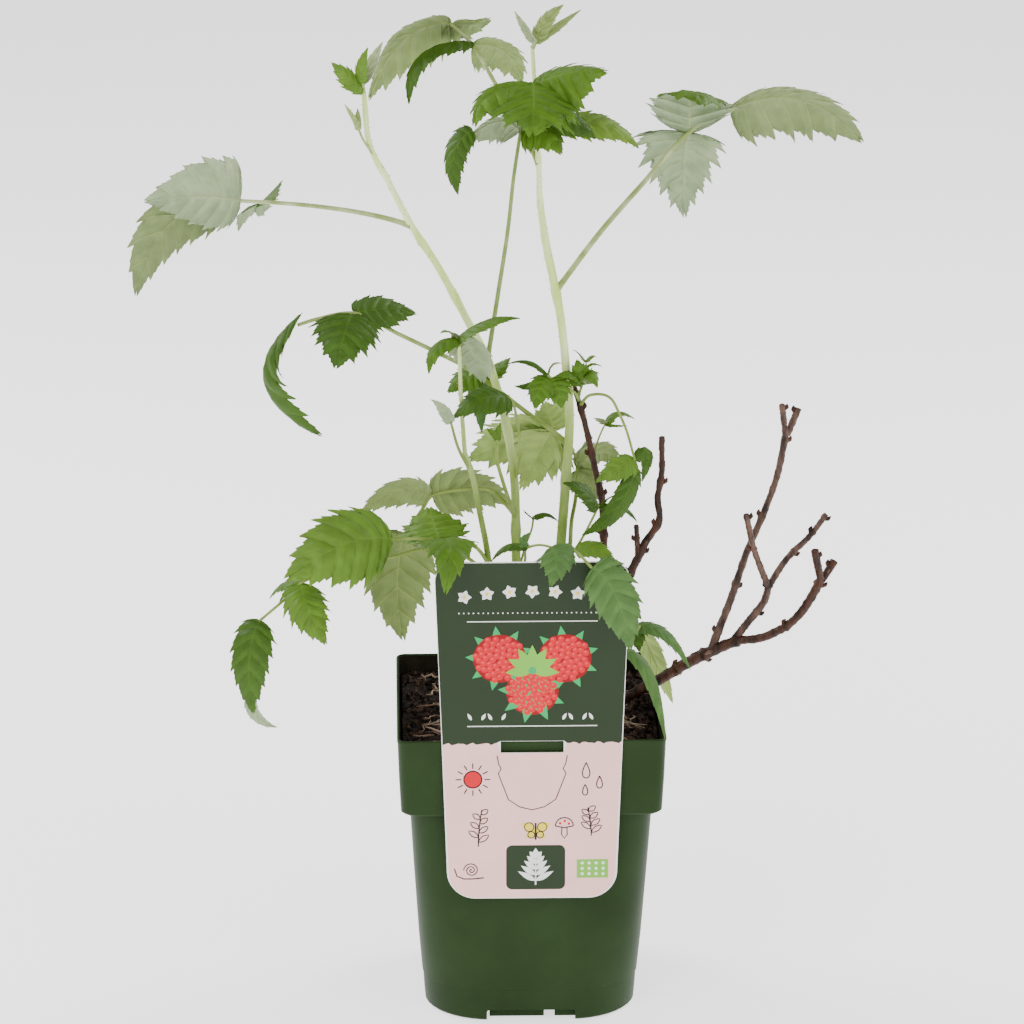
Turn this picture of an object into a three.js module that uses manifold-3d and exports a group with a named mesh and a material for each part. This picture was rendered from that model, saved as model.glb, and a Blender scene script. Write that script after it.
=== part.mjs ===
// Young raspberry plant in a square nursery pot: two tall green canes, a small shoot,
// three old brown canes cut back last season, compound leaves and a hanging label.
// Millimetres, +Z up, origin on the ground under the middle of the pot.
import * as THREE from "three";
import { mergeVertices } from "three/addons/utils/BufferGeometryUtils.js";
import Module from "manifold-3d";

const wasm = await Module();
wasm.setup();

// ---------------------------------------------------------------- driving sizes
const RIM_HALF = 75; // outer half width of the rim
const POT_HEIGHT = 174;
const COLLAR_FOOT = 128.6; // underside of the deep collar
const COLLAR_FOOT_HALF = 73;
const BODY_TOP_HALF = 68.2; // wall just under the collar
const FOOT_HALF = 59.8;
const WALL = 1.5;
const FLOOR_LOW = 7; // raised bottom plate
const FLOOR_TOP = 9;
const LINE_HEIGHT = 19; // moulding line above the foot
const NOTCH_WIDTH = 50; // drainage notch in each side of the foot ring
const NOTCH_HEIGHT = 6.4;
const TABS = [
  [-8, 31],
  [20, 13],
]; // middle and width of the upright tabs behind each notch
const TAB_SETBACK = 7;
const PAD_RADIUS = 15; // round pad in the middle of the underside
const CORNER_STEPS = 4;

const SOIL_TOP = 161;
const SOIL_DIP = 5; // deepest hollow in the soil surface
const SOIL_SIDE_STEPS = 5;
const SEAT = 0.3; // gap between pieces that rest on each other
const CANE_FOOT = SOIL_TOP + SEAT;

const CARD_BACK = -75.6; // hanging label in front of the collar
const CARD_THICK = 0.8;
const CARD_TOP = 279;
const CARD_BOTTOM = 81;
const CARD_TOP_HALF = 54;
const CARD_BOTTOM_HALF = 47;
const CARD_TOP_RADIUS = 11;
const CARD_BOTTOM_RADIUS = 15.5;
const SLOT_HALF = 17.5;
const SLOT_LOW = 167.6;
const SLOT_HIGH = 174.4;
const STRAP_BACK = -72.5; // side of the strap that faces the pot's inner wall
const STRAP_FOOT = 163.5;

const LEAF_THICK = 0.75;
const FOLD = -0.18; // leaflet edges hang below the midrib by this share of the half width
const TOOTH_OUT = 1.06;
const TOOTH_IN = 0.8;
const STALK_GAP = 0.35;

const COLOURS = {
  pot: 0x34502f,
  soil: 0x2a1d18,
  label: 0x3f5f3d,
  cane: 0xb4c983,
  bark: 0x5b3a30,
  leaf: 0x5f8a35,
  pale: 0xa3b784,
};

// ---------------------------------------------------------------- small tools
const v = (p) => new THREE.Vector3(p[0], p[1], p[2]);

function closedMesh(vertices, faces) {
  const flat = new Float32Array(vertices.flatMap((p) => [p.x, p.y, p.z]));
  let six = 0;
  for (const [a, b, c] of faces) {
    six += vertices[a].dot(vertices[b].clone().cross(vertices[c]));
  }
  const order = six < 0 ? faces.map(([a, b, c]) => [a, c, b]) : faces;
  const mesh = new wasm.Mesh({
    numProp: 3,
    vertProperties: flat,
    triVerts: new Uint32Array(order.flat()),
  });
  return new wasm.Manifold(mesh);
}

function solidOf(geometry) {
  const bare = geometry.clone();
  bare.deleteAttribute("normal");
  bare.deleteAttribute("uv");
  const merged = mergeVertices(bare, 1e-4);
  const mesh = new wasm.Mesh({
    numProp: 3,
    vertProperties: new Float32Array(merged.attributes.position.array),
    triVerts: new Uint32Array(merged.index.array),
  });
  return new wasm.Manifold(mesh);
}

function geometryOf(solid) {
  const mesh = solid.getMesh();
  const geometry = new THREE.BufferGeometry();
  geometry.setAttribute("position", new THREE.BufferAttribute(mesh.vertProperties, 3));
  geometry.setIndex(new THREE.BufferAttribute(mesh.triVerts, 1));
  geometry.computeVertexNormals();
  return geometry;
}

// Keeps the main body; scraps a cut leaves behind are dropped, a lost leaflet is an error.
function largest(solid, scrap = 4) {
  const parts = solid.decompose().sort((a, b) => b.volume() - a.volume());
  if (parts.length > 1 && parts[1].volume() > scrap) {
    throw new Error(`a piece of ${parts[1].volume().toFixed(1)} mm3 is loose`);
  }
  return parts[0];
}

function at(list, t) {
  const s = t * (list.length - 1);
  const i = Math.min(list.length - 2, Math.floor(s));
  return list[i] + (list[i + 1] - list[i]) * (s - i);
}

function wave(x, y, seed) {
  const a = Math.sin(x * 0.11 + seed) * Math.cos(y * 0.13 - seed);
  const b = Math.sin(x * 0.31 - y * 0.27 + seed * 2);
  return 0.65 * a + 0.35 * b;
}

// ---------------------------------------------------------------- pot and soil
// A square with round corners; `between` more points share out each straight side.
function squareRing(half, radius, between = 0) {
  const points = [];
  for (let corner = 0; corner < 4; corner += 1) {
    const turn = (corner * Math.PI) / 2;
    const cx = (half - radius) * (corner === 0 || corner === 3 ? 1 : -1);
    const cy = (half - radius) * (corner < 2 ? 1 : -1);
    for (let i = 0; i <= CORNER_STEPS; i += 1) {
      const a = turn + (i / CORNER_STEPS) * (Math.PI / 2);
      points.push([cx + radius * Math.cos(a), cy + radius * Math.sin(a)]);
    }
    const [ex, ey] = points[points.length - 1];
    for (let j = 1; j <= between; j += 1) {
      const run = (2 * (half - radius) * j) / (between + 1);
      points.push([ex - run * Math.cos(turn), ey - run * Math.sin(turn)]);
    }
  }
  return points;
}

// Levels are [z, half width, corner radius], from the bottom to the top.
function loft(levels) {
  const vertices = [];
  const faces = [];
  const n = 4 * (CORNER_STEPS + 1);
  for (const [z, half, radius] of levels) {
    for (const [x, y] of squareRing(half, radius)) {
      vertices.push(new THREE.Vector3(x, y, z));
    }
  }
  for (let k = 0; k < levels.length - 1; k += 1) {
    for (let i = 0; i < n; i += 1) {
      const a = k * n + i;
      const b = k * n + ((i + 1) % n);
      faces.push([a, b, b + n], [a, b + n, a + n]);
    }
  }
  const top = (levels.length - 1) * n;
  for (let i = 1; i < n - 1; i += 1) {
    faces.push([0, i + 1, i], [top, top + i, top + i + 1]);
  }
  return closedMesh(vertices, faces);
}

function block(width, depth, height, x, y, z) {
  const box = new THREE.BoxGeometry(width, depth, height);
  box.translate(x, y, z + height / 2);
  return solidOf(box);
}

function makePot() {
  const body = loft([
    [0, FOOT_HALF - 0.8, 37],
    [1.2, FOOT_HALF, 37],
    [LINE_HEIGHT, FOOT_HALF + 1.1, 35],
    [LINE_HEIGHT + 0.6, FOOT_HALF + 1.6, 35],
    [COLLAR_FOOT, BODY_TOP_HALF, 17],
    [COLLAR_FOOT + 0.4, COLLAR_FOOT_HALF - 0.6, 9],
    [COLLAR_FOOT + 1.4, COLLAR_FOOT_HALF, 8],
    [POT_HEIGHT - 2, RIM_HALF - 0.2, 5.4],
    [POT_HEIGHT - 1.2, RIM_HALF, 5.4],
    [POT_HEIGHT, RIM_HALF, 5.4],
  ]);
  const inside = loft([
    [FLOOR_TOP, FOOT_HALF + 0.5 - WALL, 33.5],
    [COLLAR_FOOT, BODY_TOP_HALF - WALL, 15.5],
    [COLLAR_FOOT + 4, COLLAR_FOOT_HALF - WALL, 7],
    [POT_HEIGHT + 2, RIM_HALF - WALL, 4],
  ]);
  const under = loft([
    [-2, FOOT_HALF - 2.4, 35.4],
    [FLOOR_LOW, FOOT_HALF - 2, 35],
  ]);
  const pad = new THREE.CylinderGeometry(PAD_RADIUS - 1, PAD_RADIUS, FLOOR_LOW + 1, 24);
  pad.rotateX(Math.PI / 2);
  pad.translate(0, 0, (FLOOR_LOW + 1) / 2);
  let pot = body.subtract(inside).subtract(under).add(solidOf(pad));
  for (let side = 0; side < 4; side += 1) {
    const [dx, dy] = [
      [0, -1],
      [1, 0],
      [0, 1],
      [-1, 0],
    ][side];
    const across = Math.abs(dy);
    const w = across ? NOTCH_WIDTH : 8;
    const d = across ? 8 : NOTCH_WIDTH;
    pot = pot.subtract(block(w, d, NOTCH_HEIGHT + 2, dx * FOOT_HALF, dy * FOOT_HALF, -2));
    for (const [middle, wide] of TABS) {
      const reach = FOOT_HALF - TAB_SETBACK;
      const x = dx * reach + across * middle;
      const y = dy * reach + (1 - across) * middle;
      const tab = block(across ? wide : 1.6, across ? 1.6 : wide, FLOOR_LOW + 1, x, y, 0);
      pot = pot.add(tab);
    }
  }
  return largest(pot);
}

const FEET = [
  [-5, 0],
  [11, 8],
  [-17, -12],
  [41, 15],
  [38, -6],
  [47, 7],
];

function soilHeight(x, y) {
  const near = Math.min(...FEET.map(([fx, fy]) => Math.hypot(x - fx, y - fy)));
  const free = Math.min(1, Math.max(0, (near - 14) / 10));
  return SOIL_TOP - SOIL_DIP * free * (0.5 - 0.5 * wave(x, y, 1.7));
}

function makeSoil() {
  const edge = SEAT + 0.1;
  const vertices = [];
  const faces = [];
  const n = 4 * (CORNER_STEPS + 1 + SOIL_SIDE_STEPS);
  const levels = [
    [FLOOR_TOP + SEAT, FOOT_HALF + 0.5 - WALL - edge, 33.5],
    [COLLAR_FOOT, BODY_TOP_HALF - WALL - edge, 15.5],
    [COLLAR_FOOT + 4.5, COLLAR_FOOT_HALF - WALL - edge, 7],
    [SOIL_TOP - SOIL_DIP - 2, COLLAR_FOOT_HALF + 0.6 - WALL, 5],
  ];
  for (const [z, half, radius] of levels) {
    for (const [x, y] of squareRing(half, radius, SOIL_SIDE_STEPS)) {
      vertices.push(new THREE.Vector3(x, y, z));
    }
  }
  const last = levels[levels.length - 1];
  const shares = [0.93, 0.8, 0.66, 0.52, 0.38, 0.24, 0.1];
  for (const share of shares) {
    const round = last[2] * share + 12 * (1 - share) * share;
    for (const [x, y] of squareRing(last[1] * share, round, SOIL_SIDE_STEPS)) {
      vertices.push(new THREE.Vector3(x, y, soilHeight(x, y)));
    }
  }
  const rings = levels.length + shares.length;
  for (let k = 0; k < rings - 1; k += 1) {
    for (let i = 0; i < n; i += 1) {
      const a = k * n + i;
      const b = k * n + ((i + 1) % n);
      faces.push([a, b, b + n], [a, b + n, a + n]);
    }
  }
  const top = (rings - 1) * n;
  for (let i = 1; i < n - 1; i += 1) {
    faces.push([0, i + 1, i], [top, top + i, top + i + 1]);
  }
  return closedMesh(vertices, faces);
}

// ---------------------------------------------------------------- label
function makeLabel() {
  const top = CARD_TOP_HALF;
  const low = CARD_BOTTOM_HALF;
  const rt = CARD_TOP_RADIUS;
  const rb = CARD_BOTTOM_RADIUS;
  const slope = (top - low) / (CARD_TOP - CARD_BOTTOM);
  const card = new THREE.Shape();
  card.moveTo(-low + rb, CARD_BOTTOM);
  card.lineTo(low - rb, CARD_BOTTOM);
  card.quadraticCurveTo(low - 1, CARD_BOTTOM + 1, low + slope * rb, CARD_BOTTOM + rb);
  card.lineTo(top - slope * rt, CARD_TOP - rt);
  card.quadraticCurveTo(top - 1, CARD_TOP - 1, top - rt, CARD_TOP);
  card.lineTo(-top + rt, CARD_TOP);
  card.quadraticCurveTo(-top + 1, CARD_TOP - 1, -top + slope * rt, CARD_TOP - rt);
  card.lineTo(-low - slope * rb, CARD_BOTTOM + rb);
  card.quadraticCurveTo(-low + 1, CARD_BOTTOM + 1, -low + rb, CARD_BOTTOM);
  const slot = new THREE.Path();
  slot.moveTo(-SLOT_HALF, SLOT_LOW);
  slot.lineTo(-SLOT_HALF, SLOT_HIGH);
  slot.lineTo(SLOT_HALF, SLOT_HIGH);
  slot.lineTo(SLOT_HALF, SLOT_LOW);
  slot.closePath();
  card.holes.push(slot);
  const sheet = new THREE.ExtrudeGeometry(card, {
    depth: CARD_THICK,
    bevelEnabled: false,
    curveSegments: 5,
  });
  sheet.rotateX(Math.PI / 2);
  sheet.translate(0, CARD_BACK, 0);
  // A strap from the top of the slot goes over the rim and hangs inside the pot.
  const hook = new THREE.Shape();
  const high = SLOT_HIGH + CARD_THICK + 0.1;
  hook.moveTo(CARD_BACK - 0.3, SLOT_HIGH + 0.1);
  hook.lineTo(CARD_BACK - 0.3, high);
  hook.lineTo(STRAP_BACK + CARD_THICK, high);
  hook.lineTo(STRAP_BACK + CARD_THICK, STRAP_FOOT);
  hook.lineTo(STRAP_BACK, STRAP_FOOT);
  hook.lineTo(STRAP_BACK, SLOT_HIGH + 0.1);
  hook.closePath();
  const strap = new THREE.ExtrudeGeometry(hook, {
    depth: 2 * SLOT_HALF - 6,
    bevelEnabled: false,
  });
  strap.rotateX(Math.PI / 2);
  strap.rotateZ(Math.PI / 2);
  strap.translate(-(SLOT_HALF - 3), 0, 0);
  return solidOf(sheet).add(solidOf(strap));
}

// ---------------------------------------------------------------- canes
// Ring positions [curve parameter, share of the length]: one at every point, more on long spans.
function stationsOf(points, step) {
  const spans = points.slice(1).map((p, i) => v(p).distanceTo(v(points[i])));
  const total = spans.reduce((a, b) => a + b, 0);
  const stations = [];
  let done = 0;
  spans.forEach((span, i) => {
    const parts = Math.max(1, Math.round(span / step));
    for (let j = 0; j < parts; j += 1) {
      stations.push([(i + j / parts) / spans.length, (done + (span * j) / parts) / total]);
    }
    done += span;
  });
  stations.push([1, 1]);
  return stations;
}

// A limb runs through its points with tapering radii; `flat` cuts its foot level.
function limb(points, radii, { sides = 8, step = 20, flat = false, extra = 0 } = {}) {
  const path = new THREE.CatmullRomCurve3(points.map(v), false, "centripetal");
  const stations = stationsOf(points, step);
  const count = stations.length;
  const vertices = [];
  const faces = [];
  let across = new THREE.Vector3(1, 0, 0);
  for (let k = 0; k < count; k += 1) {
    const [u, t] = stations[k];
    const centre = path.getPoint(u);
    const along = flat && k === 0 ? new THREE.Vector3(0, 0, 1) : path.getTangent(u);
    if (k === 0 && Math.abs(along.x) > 0.9) {
      across = new THREE.Vector3(0, 1, 0);
    }
    across = across.clone().addScaledVector(along, -across.dot(along)).normalize();
    const other = along.clone().cross(across);
    const r = at(radii, t) + extra;
    if (k === count - 1) {
      centre.addScaledVector(along, extra);
    }
    for (let i = 0; i < sides; i += 1) {
      const a = (i / sides) * 2 * Math.PI;
      const p = centre.clone();
      p.addScaledVector(across, r * Math.cos(a));
      p.addScaledVector(other, r * Math.sin(a));
      vertices.push(p);
    }
  }
  for (let k = 0; k < count - 1; k += 1) {
    for (let i = 0; i < sides; i += 1) {
      const a = k * sides + i;
      const b = k * sides + ((i + 1) % sides);
      faces.push([a, b, b + sides], [a, b + sides, a + sides]);
    }
  }
  const top = (count - 1) * sides;
  for (let i = 1; i < sides - 1; i += 1) {
    faces.push([0, i + 1, i], [top, top + i, top + i + 1]);
  }
  return closedMesh(vertices, faces);
}

// name: [points, radii, parent it forks from]
const CANES = {
  cane_left: [
    [
      [-5, 0, CANE_FOOT],
      [-7, 2, 255],
      [-8, 4, 301],
      [-13, 5, 336],
      [-23, 5, 371],
      [-37, 4, 400],
      [-51, 2, 427],
      [-65, 0, 450],
      [-78, 0, 476],
      [-87.5, -2, 496],
      [-90.6, -4, 526],
    ],
    [2.8, 2.6, 2.4, 2.3, 2.1, 1.8, 1.25],
  ],
  cane_right: [
    [
      [11, 8, CANE_FOOT],
      [18, 6, 258],
      [21, 6, 300],
      [23, 6, 336],
      [21, 5, 365],
      [18, 4, 394],
      [14.2, 3, 415],
      [9.6, 3, 438],
      [6.2, 4, 463],
      [5.5, 5, 483],
      [3.5, 8, 523],
      [2, 8, 548],
    ],
    [3.1, 2.9, 2.7, 2.5, 2.3, 2.3, 1.3, 1.1],
  ],
  shoot: [
    [
      [-17, -12, CANE_FOOT],
      [-23, -14, 260],
      [-28, -14, 289],
      [-32, -14, 310],
      [-36, -14, 322],
    ],
    [1.9, 1.7, 1.5],
  ],
  shoot_stem: [
    [
      [-36, -14, 322.6],
      [-38, -14, 354],
      [-39, -17, 386],
    ],
    [1.3, 1.1, 1],
    "shoot",
  ],
  old_cane_middle: [
    [
      [41, 15, CANE_FOOT],
      [43, 14, 250],
      [42, 13, 283],
      [36, 12, 313],
      [28, 11, 346],
      [20.5, 10.5, 366],
    ],
    [1.9, 1.8, 1.9, 1.9, 1.6, 1.4],
  ],
  old_cane_right: [
    [
      [38, -6, CANE_FOOT],
      [57, -8, 249],
      [62, -8, 260],
      [65, -8, 267],
      [73, -9, 281],
      [72, -9, 294],
      [74, -9, 307],
      [74, -10, 330],
    ],
    [2.6, 2.4, 2.3, 1.8, 1.5],
  ],
  old_cane_right_stub: [
    [
      [62, -8, 257],
      [60, -12, 279],
    ],
    [1.7, 1.2],
    "old_cane_right",
  ],
  old_cane_low: [
    [
      [45, 7, CANE_FOOT],
      [50, 7, 165.5],
      [58, 6, 171.5],
      [74, 5, 181],
      [90, 4, 191.5],
      [106, 4, 199.5],
      [120, 4, 205.5],
    ],
    [2.6, 2.8, 3.1, 3.3, 2.9],
  ],
  old_branch_tall: [
    [
      [103.5, 4, 198],
      [110, 8, 212],
      [117, 13, 226],
      [127, 17, 254],
      [135, 19, 274],
      [142, 21, 295],
      [146, 23, 322],
    ],
    [2.2, 2, 1.8, 1.8],
    "old_cane_low",
  ],
  old_branch_tall_left: [
    [
      [145, 22, 321],
      [143, 17, 340],
    ],
    [1.5, 1.3],
    "old_branch_tall",
  ],
  old_branch_tall_right: [
    [
      [146.6, 24, 320],
      [153, 28, 335],
    ],
    [1.6, 1.5],
    "old_branch_tall",
  ],
  old_branch_middle: [
    [
      [116, 5, 204],
      [125.5, 6.5, 216],
      [133.5, 5, 227.5],
      [136, 2, 239],
    ],
    [2.2, 2],
    "old_cane_low",
  ],
  old_branch_middle_left: [
    [
      [134.6, 1, 238],
      [128, -4, 262],
      [123, -6, 283],
    ],
    [1.7, 1.5, 1.3],
    "old_branch_middle",
  ],
  old_branch_middle_right: [
    [
      [136.8, 3, 237.5],
      [146, 7, 252],
      [160, 12, 265],
      [169, 16, 276],
    ],
    [1.8, 1.7, 1.4],
    "old_branch_middle",
  ],
  old_branch_far: [
    [
      [118, 3, 204],
      [144, -5, 212],
      [160.5, -10, 225.5],
      [165, -12, 242.5],
    ],
    [2.3, 2.3, 2.1],
    "old_cane_low",
  ],
  old_branch_far_left: [
    [
      [163.7, -12.8, 242.4],
      [160, -17, 265],
    ],
    [1.7, 1.5],
    "old_branch_far",
  ],
  old_branch_far_right: [
    [
      [165.9, -10.9, 241],
      [172, -5.5, 253],
    ],
    [1.8, 1.7],
    "old_branch_far",
  ],
};

const isOld = (name) => name.startsWith("old_");

function caneLimb(name, extra = 0) {
  const [points, radii, parent] = CANES[name];
  return limb(points, radii, { sides: isOld(name) ? 7 : 8, flat: !parent, extra });
}

function makeCane(name) {
  const parent = CANES[name][2];
  const solid = caneLimb(name);
  return parent ? largest(solid.subtract(caneLimb(parent, STALK_GAP))) : solid;
}

// ---------------------------------------------------------------- leaves
// Outline of a raspberry leaflet as a share of its half width along its midrib.
function outline(t) {
  return Math.sin(Math.PI * t ** 0.54) ** 0.85;
}

// A leaflet: [base, middle and tip of its midrib, direction its upper side faces, width, fold]
function leaflet([base, middle, tip, up, width, fold = FOLD]) {
  const b = v(base);
  const t = v(tip);
  const control = v(middle).multiplyScalar(2).sub(b.clone().add(t).multiplyScalar(0.5));
  const midrib = new THREE.QuadraticBezierCurve3(b, control, t);
  const length = midrib.getLength();
  const teeth = length > 50 ? 4 : length > 32 ? 3 : length > 18 ? 2 : 1;
  const count = 2 * teeth + 1;
  const thick = Math.max(LEAF_THICK, length / 80);
  const face = v(up).normalize();
  const shares = length > 22 ? [-1, 0, 1] : [-1, 1];
  const wide = shares.length;
  const vertices = [];
  const faces = [];
  for (let k = 0; k <= count; k += 1) {
    const s = k / count;
    const centre = midrib.getPointAt(s);
    const along = midrib.getTangentAt(s);
    const side = along.clone().cross(face).normalize();
    const normal = side.clone().cross(along);
    const out = k % 2 === 1 ? TOOTH_OUT : TOOTH_IN;
    let half = (width / 2) * outline(s) * out;
    if (k === 0 || k === count) {
      half = 0.45;
    }
    const sweep = k % 2 === 1 && k < count ? (0.35 * length) / count : 0;
    for (const level of [0.5, -0.5]) {
      for (const share of shares) {
        const p = centre.clone();
        p.addScaledVector(side, half * share);
        p.addScaledVector(normal, Math.abs(share) * fold * half + level * thick);
        p.addScaledVector(along, Math.abs(share) * sweep);
        vertices.push(p);
      }
    }
  }
  const quad = (a, b2, c, d) => faces.push([a, b2, c], [a, c, d]);
  const row = 2 * wide;
  for (let k = 0; k < count; k += 1) {
    const p = row * k;
    const q = p + row;
    for (let i = 0; i < wide - 1; i += 1) {
      const low = wide + i;
      quad(p + i, p + i + 1, q + i + 1, q + i);
      quad(p + low + 1, p + low, q + low, q + low + 1);
    }
    quad(p + wide, p, q, q + wide);
    quad(p + wide - 1, p + row - 1, q + row - 1, q + wide - 1);
  }
  const e = row * count;
  for (let i = 0; i < wide - 1; i += 1) {
    quad(i + 1, i, wide + i, wide + i + 1);
    quad(e + i, e + i + 1, e + wide + i + 1, e + wide + i);
  }
  return closedMesh(vertices, faces);
}

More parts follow.
